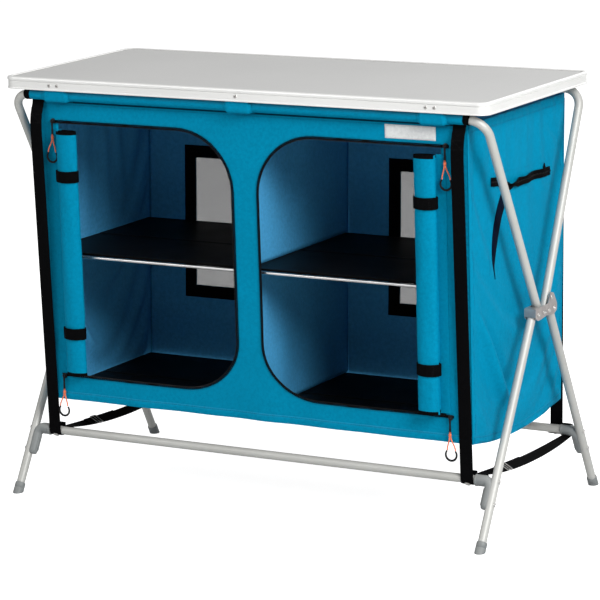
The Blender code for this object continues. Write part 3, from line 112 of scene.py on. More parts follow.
def new_material(name, colour):
    """An empty material with its shader joined up; the viewport colour is the same."""
    material = bpy.data.materials.new(name)
    material.diffuse_color = colour
    material.use_nodes = True
    tree = material.node_tree
    tree.nodes.clear()
    shader = put(tree, "ShaderNodeBsdfPrincipled", {"Base Color": colour})
    put(tree, "ShaderNodeOutputMaterial", {"Surface": shader.outputs["BSDF"]})
    return material, tree, shader


def work_out(tree, operation, *values, **settings):
    """One step of arithmetic on sockets and numbers; gives the socket of its result."""
    step = put(tree, "ShaderNodeMath", dict(enumerate(values)), operation=operation, **settings)
    return step.outputs["Value"]


FLOOR_HALF = 30.0
floor_mesh = bmesh.new()
for x, y in ((-1, -1), (1, -1), (1, 1), (-1, 1)):
    floor_mesh.verts.new((x * FLOOR_HALF, y * FLOOR_HALF, 0.0))
floor_mesh.faces.new(floor_mesh.verts)
floor_data = bpy.data.meshes.new("studio_floor")
floor_mesh.to_mesh(floor_data)
floor_paint, floor_tree, floor_shader = new_material("pale studio floor", tint(224, 224, 224))
for socket, value in (
    ("Roughness", 0.75), ("Specular IOR Level", 0.1), ("Emission Color", (0.80, 0.80, 0.80, 1.0)),
):
    floor_shader.inputs[socket].default_value = value
floor_seen = put(floor_tree, "ShaderNodeLightPath")
floor_tree.links.new(floor_seen.outputs["Is Camera Ray"], floor_shader.inputs["Emission Strength"])
floor_data.materials.append(floor_paint)
studio_floor = bpy.data.objects.new("studio_floor", floor_data)
scene.collection.objects.link(studio_floor)

surround = bpy.data.worlds.new("white surround")
surround.use_nodes = True
sky = surround.node_tree.nodes["Background"]
sky.inputs["Color"].default_value = (1.0, 1.0, 1.0, 1.0)
sky_seen = put(surround.node_tree, "ShaderNodeLightPath")
SKY_SEEN, SKY_LIGHT = 0.63, 0.42
sky_strength = work_out(
    surround.node_tree, "MULTIPLY_ADD", sky_seen.outputs["Is Camera Ray"], SKY_SEEN, SKY_LIGHT)
surround.node_tree.links.new(sky_strength, sky.inputs["Strength"])
scene.world = surround

LAMPS = (
    ("key_lamp", (3.6, -2.1, 2.9), 1.8, 210.0),
    ("fill_lamp", (-2.4, -3.6, 2.8), 2.4, 42.0),
    ("back_lamp", (0.6, 3.4, 3.0), 2.4, 50.0),
)
for lamp_name, place, width, power in LAMPS:
    lamp_data = bpy.data.lights.new(lamp_name, "AREA")
    lamp_data.shape = "SQUARE"
    lamp_data.size = width
    lamp_data.energy = power
    lamp = bpy.data.objects.new(lamp_name, lamp_data)
    scene.collection.objects.link(lamp)
    lamp.location = place
    lamp.rotation_mode = "QUATERNION"
    lamp.rotation_quaternion = (Vector((0.0, 0.0, 0.4)) - lamp.location).to_track_quat("-Z", "Y")


# Tube frames
# Round steel tube of 16 mm, bent cold and sprayed silver grey. Two U-shaped
# frames carry the worktop's rails; four legs and two lower bars stand below
# the fold brackets. The rear legs' upper ends are pressed flat for a rivet.

TUBE_R = 0.008
TUBE_WALL = 0.0012
TUBE_SIDES = 28
TONGUE_HALF = 0.0013
CLEAR = 0.0003
LEG_X = 0.489
BEND_R = 0.035
RAIL_Z = 0.7668
FRONT_RAIL = (-0.214, RAIL_Z)
REAR_RAIL = (0.200, RAIL_Z)
PIVOT_Z = 0.3865
FRONT_LEG_PIVOT = (-0.0243, PIVOT_Z)
FRONT_FRAME_PIVOT = (0.0010, PIVOT_Z)
REAR_FRAME_PIVOT = (0.0230, PIVOT_Z)
REAR_LEG_PIVOT = (0.0460, PIVOT_Z)
FOOT_SPREAD = 0.2525
FRONT_FOOT = (-FOOT_SPREAD, 0.0)
REAR_FOOT = (FOOT_SPREAD, 0.0)
TUBE_END = 0.007
CROSSBAR_REACH = LEG_X - 0.0133
SIDES = ((-1, "left"), (1, "right"))


def heading(start, end):
    """Unit direction from one point of the side view to another."""
    dy, dz = end[0] - start[0], end[1] - start[1]
    length = math.hypot(dy, dz)
    return (dy / length, dz / length)


def along(start, way, distance):
    return (start[0] + way[0] * distance, start[1] + way[1] * distance)


def at_height(start, way, z):
    return along(start, way, (z - start[1]) / way[1])


FRONT_LEG_DOWN = heading(FRONT_LEG_PIVOT, FRONT_FOOT)
REAR_LEG_DOWN = heading(REAR_LEG_PIVOT, REAR_FOOT)
REAR_LEG_UP = (-REAR_LEG_DOWN[0], -REAR_LEG_DOWN[1])
SECOND_RIVET = along(REAR_LEG_PIVOT, REAR_LEG_UP, 0.0255)
FRONT_BAR = at_height(FRONT_LEG_PIVOT, FRONT_LEG_DOWN, 0.1136)
REAR_BAR = at_height(REAR_LEG_PIVOT, REAR_LEG_DOWN, 0.1200)


def bent_path(corners, radius, steps):
    """Centre line through 3-D corners, each turned into a bend of that radius."""
    corners = [Vector(c) for c in corners]
    points = [corners[0]]
    for before, corner, after in zip(corners, corners[1:], corners[2:]):
        back = (before - corner).normalized()
        on = (after - corner).normalized()
        half = back.angle(on) / 2
        reach = radius / math.tan(half)
        centre = corner + (back + on).normalized() * (radius / math.sin(half))
        first = corner + back * reach - centre
        last = corner + on * reach - centre
        for k in range(steps + 1):
            points.append(centre + first.slerp(last, k / steps).normalized() * radius)
    points.append(corners[-1])
    return points


def loop_at(bm, centre, u, v, half_u, half_v, sides, squareness=1.0, turn=0.5):
    """A ring of points round a centre; squareness above 1 flattens its four sides."""
    ring = []
    for k in range(sides):
        angle = 2 * math.pi * (k + turn) / sides
        c, s = math.cos(angle), math.sin(angle)
        c = math.copysign(abs(c) ** (1 / squareness), c)
        s = math.copysign(abs(s) ** (1 / squareness), s)
        ring.append(bm.verts.new(centre + u * (half_u * c) + v * (half_v * s)))
    return ring


def skin(bm, first, second):
    """Faces between two rings with the same number of points."""
    count = len(first)
    for i in range(count):
        j = (i + 1) % count
        bm.faces.new((first[i], first[j], second[j], second[i]))


def stack(bm, rings, caps=True):
    """Joins a stack of rings, each to the next, and closes both its ends."""
    for first, second in zip(rings, rings[1:]):
        skin(bm, first, second)
    if caps:
        bm.faces.new(rings[0])
        bm.faces.new(rings[-1])


def sweep(bm, path, sizes, sides, side_axis, caps=True):
    """A round bar or cord along a path; sizes is one radius, or one for each point."""
    path = [Vector(p) for p in path]
    radii = sizes if isinstance(sizes, (list, tuple)) else [sizes] * len(path)
    rings = []
    for i, point in enumerate(path):
        tangent = (path[min(i + 1, len(path) - 1)] - path[max(i - 1, 0)]).normalized()
        u = (side_axis - tangent * side_axis.dot(tangent)).normalized()
        v = tangent.cross(u)
        rings.append(loop_at(bm, point, u, v, radii[i], radii[i], sides))
    stack(bm, rings, caps)
    return rings


def finish_piece(name, bm, materials, body, replaces=(), sharp=32.0, toward=None):
    """Turns the mesh into a named piece that rides on its body, smooth but for sharp edges.
    toward(point) is the way its open faces look; a closed form's faces look out."""
    if toward:
        for face in bm.faces:
            face.normal_update()
            if face.normal.dot(toward(face.calc_center_median())) < 0:
                face.normal_flip()
    else:
        bmesh.ops.recalc_face_normals(bm, faces=bm.faces)
    mesh = bpy.data.meshes.new(name)
    bm.to_mesh(mesh)
    bm.free()
    for material in materials if isinstance(materials, (list, tuple)) else [materials]:
        mesh.materials.append(material)
    mesh.polygons.foreach_set("use_smooth", [True] * len(mesh.polygons))
    mesh.set_sharp_from_angle(angle=math.radians(sharp))
    piece = bpy.data.objects.new(name, mesh)
    scene.collection.objects.link(piece)
    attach(piece, body)
    if replaces:
        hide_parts(*replaces)
    return piece


def open_tube(bm, path, side_axis, depth=0.012):
    """A tube whose two open ends show the wall and the bore behind it."""
    rings = sweep(bm, path, TUBE_R, TUBE_SIDES, side_axis, caps=False)
    path = [Vector(p) for p in path]
    for ring, end, inward in (
        (rings[0], path[0], (path[1] - path[0]).normalized()),
        (rings[-1], path[-1], (path[-2] - path[-1]).normalized()),
    ):
        u = (side_axis - inward * side_axis.dot(inward)).normalized()
        v = inward.cross(u)
        if ring is rings[-1]:
            v = -v
        bore = TUBE_R - TUBE_WALL
        lip = loop_at(bm, end, u, v, bore, bore, TUBE_SIDES)
        deep = loop_at(bm, end + inward * depth, u, v, bore, bore, TUBE_SIDES)
        skin(bm, ring, lip)
        skin(bm, lip, deep)
        bm.faces.new(deep)


def new_group(name, inputs, outputs):
    """A node group, with its inputs' and outputs' sockets; all are numbers but Colour."""
    group = bpy.data.node_groups.new(name, "ShaderNodeTree")
    kinds = {"Colour": "NodeSocketColor"}
    for label, value in inputs.items():
        kind = kinds.get(label, "NodeSocketFloat")
        socket = group.interface.new_socket(name=label, in_out="INPUT", socket_type=kind)
        socket.default_value = value
    for label in outputs:
        kind = kinds.get(label, "NodeSocketFloat")
        group.interface.new_socket(name=label, in_out="OUTPUT", socket_type=kind)
    return group, group.nodes.new("NodeGroupInput").outputs, group.nodes.new("NodeGroupOutput").inputs


def piece_place(tree):
    return put(tree, "ShaderNodeTexCoord").outputs["Object"]


def cloud(tree, place, scale, detail, roughness=0.5):
    """Cloudy noise over the piece; gives the socket of its strength."""
    sockets = {"Vector": place, "Scale": scale, "Detail": detail, "Roughness": roughness}
    return put(tree, "ShaderNodeTexNoise", sockets).outputs["Fac"]


def spread_value(tree, mask, low, high, value_low, value_high):
    """Runs from one value to the other as the mask goes from low to high."""
    sockets = {"Value": mask, "From Min": low, "From Max": high, "To Min": value_low, "To Max": value_high}
    return put(tree, "ShaderNodeMapRange", sockets).outputs["Result"]


def two_colours(tree, share, first, second):
    mix = put(tree, "ShaderNodeMix", {"Factor": share, 6: first, 7: second}, data_type="RGBA")
    return mix.outputs[2]


def two_tones(tree, mask, low, high, colour_low, colour_high):
    """Runs from one colour to the other as the mask goes from low to high."""
    return two_colours(tree, spread_value(tree, mask, low, high, 0.0, 1.0), colour_low, colour_high)


speckle, given, made = new_group(
    "Fine Speckle", {"Grains per Metre": 900.0, "Patch Size": 9.0}, ["Grain", "Patches"])
place = piece_place(speckle)
speckle.links.new(cloud(speckle, place, given["Grains per Metre"], 2.0, 0.6), made["Grain"])
speckle.links.new(cloud(speckle, place, given["Patch Size"], 4.0, 0.55), made["Patches"])

dust, given, made = new_group(
    "Dust Film", {"Colour": tint(200, 200, 200), "Dust": 0.1}, ["Colour", "Mask"])
normal = put(dust, "ShaderNodeNewGeometry").outputs["Normal"]
level = put(dust, "ShaderNodeSeparateXYZ", {"Vector": normal}).outputs["Z"]
lying = work_out(dust, "MULTIPLY", spread_value(dust, level, 0.1, 0.95, 0.0, 1.0),
                 cloud(dust, piece_place(dust), 14.0, 6.0, 0.65))
mask = work_out(dust, "MULTIPLY", lying, given["Dust"], use_clamp=True)
dust.links.new(two_colours(dust, mask, given["Colour"], tint(214, 210, 202)), made["Colour"])
dust.links.new(mask, made["Mask"])


def use(tree, group, sockets):
    """Places a node group in a material with this material's own values."""
    return put(tree, "ShaderNodeGroup", sockets, node_tree=group)


def finish_surface(tree, shader, colour, gloss_mask, roughness, bump=None, sockets=None):
    """Joins a colour, a roughness that follows a mask, and a bump to the shader.
    bump is its height, its depth in metres and its strength; sockets are set as they are."""
    if colour:
        tree.links.new(colour, shader.inputs["Base Color"])
    gloss = spread_value(tree, gloss_mask, 0.3, 0.7, *roughness)
    tree.links.new(gloss, shader.inputs["Roughness"])
    if bump:
        raised = put(tree, "ShaderNodeBump", dict(zip(("Height", "Distance", "Strength"), bump)))
        tree.links.new(raised.outputs["Normal"], shader.inputs["Normal"])
    for name, value in (sockets or {}).items():
        shader.inputs[name].default_value = value


def speckled(name, plain, dark, light, grains, patch, roughness, follows="Grain",
             tones=(0.3, 0.7), dusting=0.0, bump=None, sockets=None):
    """A hard finish in patches of two tones, with a fine grain in its gloss and its bump."""
    material, tree, shader = new_material(name, tint(*plain))
    grain = use(tree, speckle, {"Grains per Metre": grains, "Patch Size": patch}).outputs
    colour = two_tones(tree, grain["Patches"], *tones, tint(*dark), tint(*light))
    if dusting:
        colour = use(tree, dust, {"Colour": colour, "Dust": dusting}).outputs["Colour"]
    relief = (grain["Grain"], *bump) if bump else None
    finish_surface(tree, shader, colour, grain[follows], roughness, relief, sockets)
    return material


tube_paint = speckled(
    "silver grey tube paint", (184, 184, 180), (178, 178, 174), (190, 190, 186), 1700.0, 6.0,
    (0.46, 0.58), tones=(0.35, 0.7), dusting=0.12, bump=(0.00006, 0.5),
    sockets={"Metallic": 0.2, "Coat Weight": 0.12, "Coat Roughness": 0.4})


def side_point(x, place):
    """A point at that x, from its y and z in the side view."""
    return Vector((x, place[0], place[1]))


for name, pivot, rail, body in (
    ("front_rail_tube", FRONT_FRAME_PIVOT, FRONT_RAIL, "frame"),
    ("rear_rail_tube", REAR_FRAME_PIVOT, REAR_RAIL, "rear_frame"),
):
    rise = heading(pivot, rail)
    end = along(pivot, rise, -TUBE_END)
    corners = [side_point(-LEG_X, end), side_point(-LEG_X, rail)]
    corners += [side_point(LEG_X, rail), side_point(LEG_X, end)]
    bm = bmesh.new()
    open_tube(bm, bent_path(corners, BEND_R, 14), Vector((0.0, -rise[1], rise[0])))
    node = "front_upper_frame" if body == "frame" else "rear_upper_frame"
    finish_piece(name, bm, tube_paint, body, [node])

CAP_FLOOR = 0.0053
for side, word in SIDES:
    top = along(FRONT_LEG_PIVOT, FRONT_LEG_DOWN, -TUBE_END)
    low = along(FRONT_FOOT, heading(FRONT_FOOT, FRONT_LEG_PIVOT), CAP_FLOOR)
    bm = bmesh.new()
    open_tube(bm, [side_point(side * LEG_X, top), side_point(side * LEG_X, low)], Vector((1, 0, 0)))
    finish_piece(f"front_leg_tube_{word}", bm, tube_paint, "front_legs",
                 [f"front_leg_{word}"])

    # The rear leg's tube closes to a flat tongue over 5 mm and ends rounded.
    tongue_x = LEG_X + TUBE_R + CLEAR + TONGUE_HALF
    low = along(REAR_FOOT, heading(REAR_FOOT, REAR_LEG_PIVOT), CAP_FLOOR)
    across = Vector((0.0, -REAR_LEG_UP[1], REAR_LEG_UP[0]))
    stations = [(low, LEG_X, TUBE_R, TUBE_R, 1.0)]
    for k in range(9):
        t = k / 8
        ease = t * t * (3 - 2 * t)
        place = along(REAR_LEG_PIVOT, REAR_LEG_UP, TUBE_END + 0.0050 * t)
        stations.append((
            place, LEG_X + (tongue_x - LEG_X) * ease, TUBE_R + (TONGUE_HALF - TUBE_R) * ease,
            TUBE_R, 1.0 + 1.4 * ease,
        ))
    for reach, share in ((0.3, 1.0), (0.55, 0.93), (0.75, 0.80), (0.92, 0.55), (1.0, 0.25)):
        place = along(SECOND_RIVET, REAR_LEG_UP, TUBE_R * reach)
        stations.append((place, tongue_x, TONGUE_HALF, TUBE_R * share, 2.4))
    bm = bmesh.new()
    stack(bm, [
        loop_at(bm, side_point(side * middle, place), Vector((1, 0, 0)), across,
                half_x, half_width, TUBE_SIDES, squareness)
        for place, middle, half_x, half_width, squareness in stations
    ])
    finish_piece(f"rear_leg_tube_{word}", bm, tube_paint, "frame", [f"rear_leg_{word}"])

for name, place, body in (
    ("front_crossbar", FRONT_BAR, "front_legs"), ("rear_crossbar", REAR_BAR, "frame"),
):
    bm = bmesh.new()
    ends = [side_point(-CROSSBAR_REACH, place), side_point(CROSSBAR_REACH, place)]
    open_tube(bm, ends, Vector((0, 0, 1)))
    finish_piece(name + "_tube", bm, tube_paint, body, [name])


# Elbows and foot caps
# Mouldings of grey nylon with a fine eroded skin. An elbow takes the end of a
# lower bar in its socket, turns down along the leg as a saddle and is held by
# two blind rivets; a cap closes each foot and is cut level on the floor.

ELBOW_R = 0.0108
SOCKET_END = 0.0375
SADDLE_R = 0.0088
SADDLE_INSET = 0.0092
ELBOW_DROP = 0.052
ELBOW_BEND = 0.0125
RIVET_PITCH = 0.042
RIVET_R = 0.0045
RIVET_DOME = 0.0018

nylon = speckled(
    "grey moulded nylon", (118, 122, 122), (110, 114, 115), (126, 130, 130), 2600.0, 22.0,
    (0.48, 0.60), follows="Patches", dusting=0.25, bump=(0.0001, 0.6))
bright_steel = speckled(
    "zinc plated rivet steel", (196, 194, 190), (178, 175, 172), (206, 205, 202), 3200.0, 60.0,
    (0.24, 0.36), bump=(0.00004, 0.4), sockets={"Metallic": 0.9})


def turned(bm, seat, outward, profile, sides):
    """A small turned form on its seat; the profile gives each ring's rise and radius."""
    u = outward.orthogonal().normalized()
    v = outward.cross(u)
    stack(bm, [loop_at(bm, seat + outward * rise, u, v, radius, radius, sides)
               for rise, radius in profile])


def domed_head(bm, seat, outward, radius=RIVET_R, height=RIVET_DOME, sides=24, dimple=0.0):
    """A rivet head on its seat: a short rim, a dome and the set's dimple on top."""
    profile = [(0.0, 1.0), (0.18, 1.02)]
    profile += [(0.18 + 0.82 * math.sin(a), math.cos(a)) for a in np.linspace(0.12, 1.25, 7)]
    if dimple:
        profile += [(1.0 - dimple * 0.3, 0.27), (1.0 - dimple, 0.2)]
    turned(bm, seat, outward, [(height * rise, radius * share) for rise, share in profile], sides)


for place, way, body, word_front in (
    (FRONT_BAR, FRONT_LEG_DOWN, "front_legs", "front"), (REAR_BAR, REAR_LEG_DOWN, "frame", "rear"),
):
    for side, word in SIDES:
        saddle_x = LEG_X - SADDLE_INSET
        low = along(place, way, ELBOW_DROP)
        corners = [
            side_point(side * (LEG_X - SOCKET_END), place), side_point(side * saddle_x, place),
            side_point(side * saddle_x, low),
        ]
        path = bent_path(corners, ELBOW_BEND, 12)
        start, first = path[0], path[1]
        run = (first - start).normalized()
        down = (path[-1] - path[-2]).normalized()
        line = [start, start + run * 0.0006, start + run * 0.0030, start + run * 0.0036]
        radii = [ELBOW_R - 0.0003, ELBOW_R + 0.0005, ELBOW_R + 0.0005, ELBOW_R - 0.0001]
        line += path[1:-1]
        radii += list(np.linspace(ELBOW_R - 0.0001, SADDLE_R, len(path[1:-1])))
        line += [path[-1] - down * 0.006, path[-1] - down * 0.0012, path[-1]]
        radii += [SADDLE_R - 0.0001, SADDLE_R - 0.0010, SADDLE_R - 0.0024]
        bm = bmesh.new()
        sweep(bm, line, radii, 32, Vector((0.0, -way[1], way[0])))
        # A moulded rib runs down the back of the saddle.
        inner_x = saddle_x - SADDLE_R
        for offset in (-0.0032, 0.0032):
            rib = [
                side_point(side * (inner_x + 0.0003), along(place, way, d)) for d in (0.014, 0.046)
            ]
            rib = [p + Vector((0.0, -way[1], way[0])) * offset for p in rib]
            sweep(bm, rib, 0.0009, 8, Vector((1, 0, 0)))
        finish_piece(f"{word_front}_elbow_moulding_{word}", bm, nylon, body,
                     [f"{word_front}_elbow_{word}"], sharp=40.0)
        bm = bmesh.new()
        for distance in (0.0, RIVET_PITCH):
            seat = side_point(side * (LEG_X + TUBE_R - 0.0002), along(place, way, distance))
            domed_head(bm, seat, Vector((side, 0, 0)), RIVET_R * 0.9, dimple=0.5)
        finish_piece(f"{word_front}_elbow_rivets_{word}", bm, bright_steel, body)

CAP_R = 0.0098
CAP_TOP = 0.0202
for foot, pivot, body, word_front in (
    (FRONT_FOOT, FRONT_LEG_PIVOT, "front_legs", "front"), (REAR_FOOT, REAR_LEG_PIVOT, "frame", "rear"),
):
    rise = heading(foot, pivot)
    across = Vector((0.0, -rise[1], rise[0]))
    for side, word in SIDES:
        bm = bmesh.new()
        rings = []
        for height, radius in ((0.0, CAP_R - 0.0007), (0.0008, CAP_R)):
            ring = []
            for k in range(32):
                angle = 2 * math.pi * (k + 0.5) / 32
                point = side_point(side * LEG_X, foot)
                point = point + Vector((radius * math.cos(angle), 0, 0))
                point = point + across * (radius * math.sin(angle))
                point = point + Vector((0.0, *rise)) * ((height - point.z) / rise[1])
                ring.append(bm.verts.new(point))
            rings.append(ring)
        stations = [(0.0085, CAP_R), (0.0090, CAP_R - 0.0004), (0.0096, CAP_R - 0.0004)]
        stations += [(0.0101, CAP_R), (CAP_TOP - 0.0012, CAP_R), (CAP_TOP - 0.0003, CAP_R - 0.0005)]
        stations += [(CAP_TOP, CAP_R - 0.0012), (CAP_TOP - 0.0015, TUBE_R + 0.0001)]
        for height, radius in stations:
            centre = side_point(side * LEG_X, along(foot, rise, height))
            rings.append(loop_at(bm, centre, Vector((1, 0, 0)), across, radius, radius, 32))
        stack(bm, rings)
        finish_piece(f"{word_front}_foot_cap_moulding_{word}", bm, nylon, body,
                     [f"{word_front}_foot_cap_{word}"], sharp=40.0)


# Fold brackets
# Each is pressed from 1.5 mm plated sheet: two plates joined by a front web and
# a short flange, with the upper frames and legs turning on four rivets between
# them. The outer plate's ear takes the fifth rivet, through the rear leg's tongue.

plated_sheet = speckled(
    "plated bracket sheet", (176, 170, 168), (160, 153, 152), (188, 183, 180), 1500.0, 45.0,
    (0.32, 0.46), tones=(0.3, 0.72), dusting=0.15, bump=(0.00006, 0.5), sockets={"Metallic": 0.75})


def dress_node(name, material, bevel=0.0):
    """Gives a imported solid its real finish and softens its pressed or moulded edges."""
    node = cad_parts[name]
    node.data.materials.clear()
    node.data.materials.append(material)
    if bevel:
        weld = node.modifiers.new("weld", "WELD")
        weld.merge_threshold = 0.00001
        soften = node.modifiers.new("soften", "BEVEL")
        soften.width = bevel
        soften.segments = 2
        soften.limit_method = "ANGLE"
        soften.angle_limit = math.radians(38)
    return node


SHEET = 0.0015
PLATE_OUTER_X = LEG_X + TUBE_R + CLEAR + 2 * TONGUE_HALF + CLEAR + SHEET
PLATE_INNER_X = LEG_X - TUBE_R - CLEAR - SHEET
for side, word in SIDES:
    dress_node(f"fold_bracket_{word}", plated_sheet, 0.0003)
    for place, centre in (
        ("front_leg", FRONT_LEG_PIVOT), ("front_frame", FRONT_FRAME_PIVOT),
        ("rear_frame", REAR_FRAME_PIVOT), ("rear_leg", REAR_LEG_PIVOT),
    ):
        bm = bmesh.new()
        outer = side_point(side * (PLATE_OUTER_X + 0.0001), centre)
        inner = side_point(side * (PLATE_INNER_X - 0.0001), centre)
        domed_head(bm, outer, Vector((side, 0, 0)), dimple=0.45)
        domed_head(bm, inner, Vector((-side, 0, 0)), dimple=0.45)
        sweep(bm, [inner, outer], 0.0022, 16, Vector((0, 0, 1)))
        finish_piece(f"{place}_pivot_rivet_{word}", bm, bright_steel, "frame",
                     [f"{place}_rivet_{word}"])
    bm = bmesh.new()
    seat = side_point(side * (PLATE_OUTER_X + 0.0002), SECOND_RIVET)
    domed_head(bm, seat, Vector((side, 0, 0)), dimple=0.45)
    back = side_point(side * (LEG_X + TUBE_R + CLEAR), SECOND_RIVET)
    domed_head(bm, back, Vector((-side, 0, 0)), RIVET_R * 0.85, 0.0010)
    finish_piece(f"ear_rivet_{word}", bm, bright_steel, "frame")


# Worktop
# A pale grey laminated board of about 20 mm in a drawn aluminium edge, which is
# joined once behind and screwed to the board through its front band. Three
# clamps and two clips of grey nylon hold it to the rails.

TOP_X, TOP_Y, TOP_SHIFT = 0.500, 0.225, -0.007
UNDERSIDE_Z = 0.777
CORNER_R = 0.022
GROOVE_Z = 0.0154
CLAMP_X = 0.390


def arc_points(centre, radius, start_deg, end_deg, steps):
    points = []
    for k in range(steps + 1):
        angle = math.radians(start_deg + (end_deg - start_deg) * k / steps)
        points.append((centre[0] + radius * math.cos(angle), centre[1] + radius * math.sin(angle)))
    return points


def edge_loop(inset, steps=14):
    """Rounded rectangle inside the worktop's outline."""
    half_x, half_y, radius = TOP_X - inset, TOP_Y - inset, CORNER_R - inset
    points = []
    for sign_x, sign_y, start in ((1, 1, 0), (-1, 1, 90), (-1, -1, 180), (1, -1, 270)):
        centre = (sign_x * (half_x - radius), TOP_SHIFT + sign_y * (half_y - radius))
        points += arc_points(centre, radius, start, start + 90, steps)
    return points


laminate, tree, shader = new_material("pale laminate", tint(186, 186, 185))
grain = use(tree, speckle, {"Grains per Metre": 420.0, "Patch Size": 2.5}).outputs
fine = use(tree, speckle, {"Grains per Metre": 1500.0, "Patch Size": 5.0}).outputs["Grain"]
broad = two_tones(tree, grain["Patches"], 0.3, 0.7, tint(191, 191, 190), tint(197, 197, 196))
flecked = two_tones(tree, fine, 0.60, 0.74, broad, tint(176, 176, 176))
dusty = use(tree, dust, {"Colour": flecked, "Dust": 0.05}).outputs["Colour"]
finish_surface(tree, shader, dusty, grain["Grain"], (0.42, 0.55), (fine, 0.00005, 0.4),
               {"Specular IOR Level": 0.35})
dress_node("worktop_panel", laminate)

aluminium, tree, shader = new_material("satin aluminium edge", tint(234, 234, 232))
grain = use(tree, speckle, {"Grains per Metre": 2000.0, "Patch Size": 4.0}).outputs
lengthwise = put(tree, "ShaderNodeMapping", {"Vector": piece_place(tree), "Scale": (6.0, 6.0, 2400.0)})
drawn = cloud(tree, lengthwise.outputs["Vector"], 1.0, 3.0)
colour = two_tones(tree, grain["Patches"], 0.3, 0.7, tint(230, 230, 228), tint(238, 238, 236))
finish_surface(tree, shader, colour, drawn, (0.28, 0.44), (drawn, 0.00004, 0.5), {"Metallic": 0.30})

bm = bmesh.new()
profile = [
    (0.0105, 0.0), (0.0016, 0.0), (0.0008, 0.0003), (0.0005, 0.0010), (0.0005, 0.0026),
    (0.0008, 0.0032), (0.0015, 0.0037), (0.0015, GROOVE_Z - 0.0005),
    (0.0018, GROOVE_Z - 0.0001), (0.0021, GROOVE_Z + 0.0001), (0.0021, GROOVE_Z + 0.0004),
    (0.0010, GROOVE_Z + 0.0008), (0.0003, GROOVE_Z + 0.0012), (0.0, GROOVE_Z + 0.0020),
    (0.0, 0.0200), (0.0003, 0.0211), (0.0009, 0.0221), (0.0018, 0.0228), (0.0028, 0.0230),
    (0.0074, 0.0230), (0.0081, 0.0228), (0.0085, 0.0224), (0.0085, 0.0215),
    (0.0030, 0.0215), (0.0030, 0.0015), (0.0105, 0.0015),
]
loops = []
for inset, rise in profile:
    loops.append([bm.verts.new((x, y, UNDERSIDE_Z + rise)) for x, y in edge_loop(inset)])
for i, loop in enumerate(loops):
    skin(bm, loop, loops[(i + 1) % len(loops)])
finish_piece("worktop_edge_profile", bm, aluminium, "worktop", ["worktop_edge"], sharp=28.0)

# The profile's two ends meet behind, under a thin cover strip.
bm = bmesh.new()
strip = [(0.2181, 0.7790), (0.2181, 0.7986)]
for x in (-0.009, 0.009):
    for y, z in strip:
        bm.verts.new((x, y, z))
        bm.verts.new((x, y - 0.0009, z))
bm.verts.ensure_lookup_table()
for quad in ((0, 2, 6, 4), (1, 5, 7, 3), (0, 4, 5, 1), (2, 3, 7, 6), (0, 1, 3, 2), (4, 6, 7, 5)):
    bm.faces.new([bm.verts[i] for i in quad])
bmesh.ops.bevel(bm, geom=bm.edges[:], offset=0.0003, segments=2, affect="EDGES")
finish_piece("edge_cover_strip", bm, aluminium, "worktop")

# Each screw head carries a dark cross of thin bars: painted shade standing in for its cross recess.
bm = bmesh.new()
screw_slot_painted_shade = bmesh.new()
for x in (-CLAMP_X - 0.0085, -CLAMP_X + 0.0085, 0.0, CLAMP_X - 0.0085, CLAMP_X + 0.0085):
    seat = Vector((x, TOP_SHIFT - TOP_Y + 0.0016, UNDERSIDE_Z + 0.0095))
    domed_head(bm, seat, Vector((0, -1, 0)), 0.0034, 0.0013, 24)
    for turn in (math.radians(20 + 700 * abs(x)), math.radians(110 + 700 * abs(x))):
        arm = Vector((math.cos(turn), 0, math.sin(turn)))
        middle = seat + Vector((0, -0.0012, 0))
        sweep(screw_slot_painted_shade, [middle - arm * 0.0013, middle + arm * 0.0013], 0.00036, 6,
              Vector((0, 1, 0)))
finish_piece("edge_screws", bm, bright_steel, "worktop")

# This dark material paints the shade inside the screws' cross recesses.
shadow_black, tree, shader = new_material("painted recess shade", tint(28, 28, 28))
grain = use(tree, speckle, {"Grains per Metre": 3000.0, "Patch Size": 80.0}).outputs
finish_surface(tree, shader, None, grain["Patches"], (0.5, 0.8))
finish_piece("edge_screw_painted_recess_shade", screw_slot_painted_shade, shadow_black, "worktop")

CLIP_SCREW_Y, CLIP_SCREW_Z, CLIP_SCREW_STEP = 0.2045, 0.77575, 0.011
held_by = [f"front_rail_clamp_{word}" for word in ("left", "middle", "right")]
held_by += [f"rear_rail_clip_{word}" for word in ("left", "right")]
for name in held_by:
    dress_node(name, nylon, 0.0006)
bm = bmesh.new()
for x in (-CLAMP_X, CLAMP_X):
    for step in (-CLIP_SCREW_STEP, CLIP_SCREW_STEP):
        seat = Vector((x + step, CLIP_SCREW_Y, CLIP_SCREW_Z))
        domed_head(bm, seat, Vector((0, 0, -1)), 0.0032, 0.0008, 20)
finish_piece("clip_screws", bm, bright_steel, "worktop")


# Cabinet cloth
# Coated polyester, blue outside; its coated inner side is given a lighter blue,
# painted light that brightens the shaded inside. Each wall is cut flat, hemmed
# with a lock stitch and sewn at the corners with piping; the front and the back
# end above in sleeves that the two rails run through.

CABINET_X = 0.450
CLOTH = 0.0016
HEM_Z = 0.180
SLEEVE_R = TUBE_R + CLEAR + CLOTH / 2
DROP = RAIL_Z - HEM_Z
FRONT_TOP_Y = FRONT_RAIL[0] + SLEEVE_R
FRONT_LEAN = 0.011
DOOR_IN, DOOR_OUT = 0.028, 0.398
DOOR_TOP, DOOR_LOW = 0.7142, 0.229
DOOR_TOP_CURVE, DOOR_LOW_CURVE = (0.115, 0.110), (0.112, 0.098)
NOTCH_HALF = 0.019


def soft(value, x, y, z, scale=1.0):
    """Slow, repeatable variation between -1 and 1 over a place on the cloth."""
    return value * noise.noise(Vector((x * scale, y * scale, z * scale)))


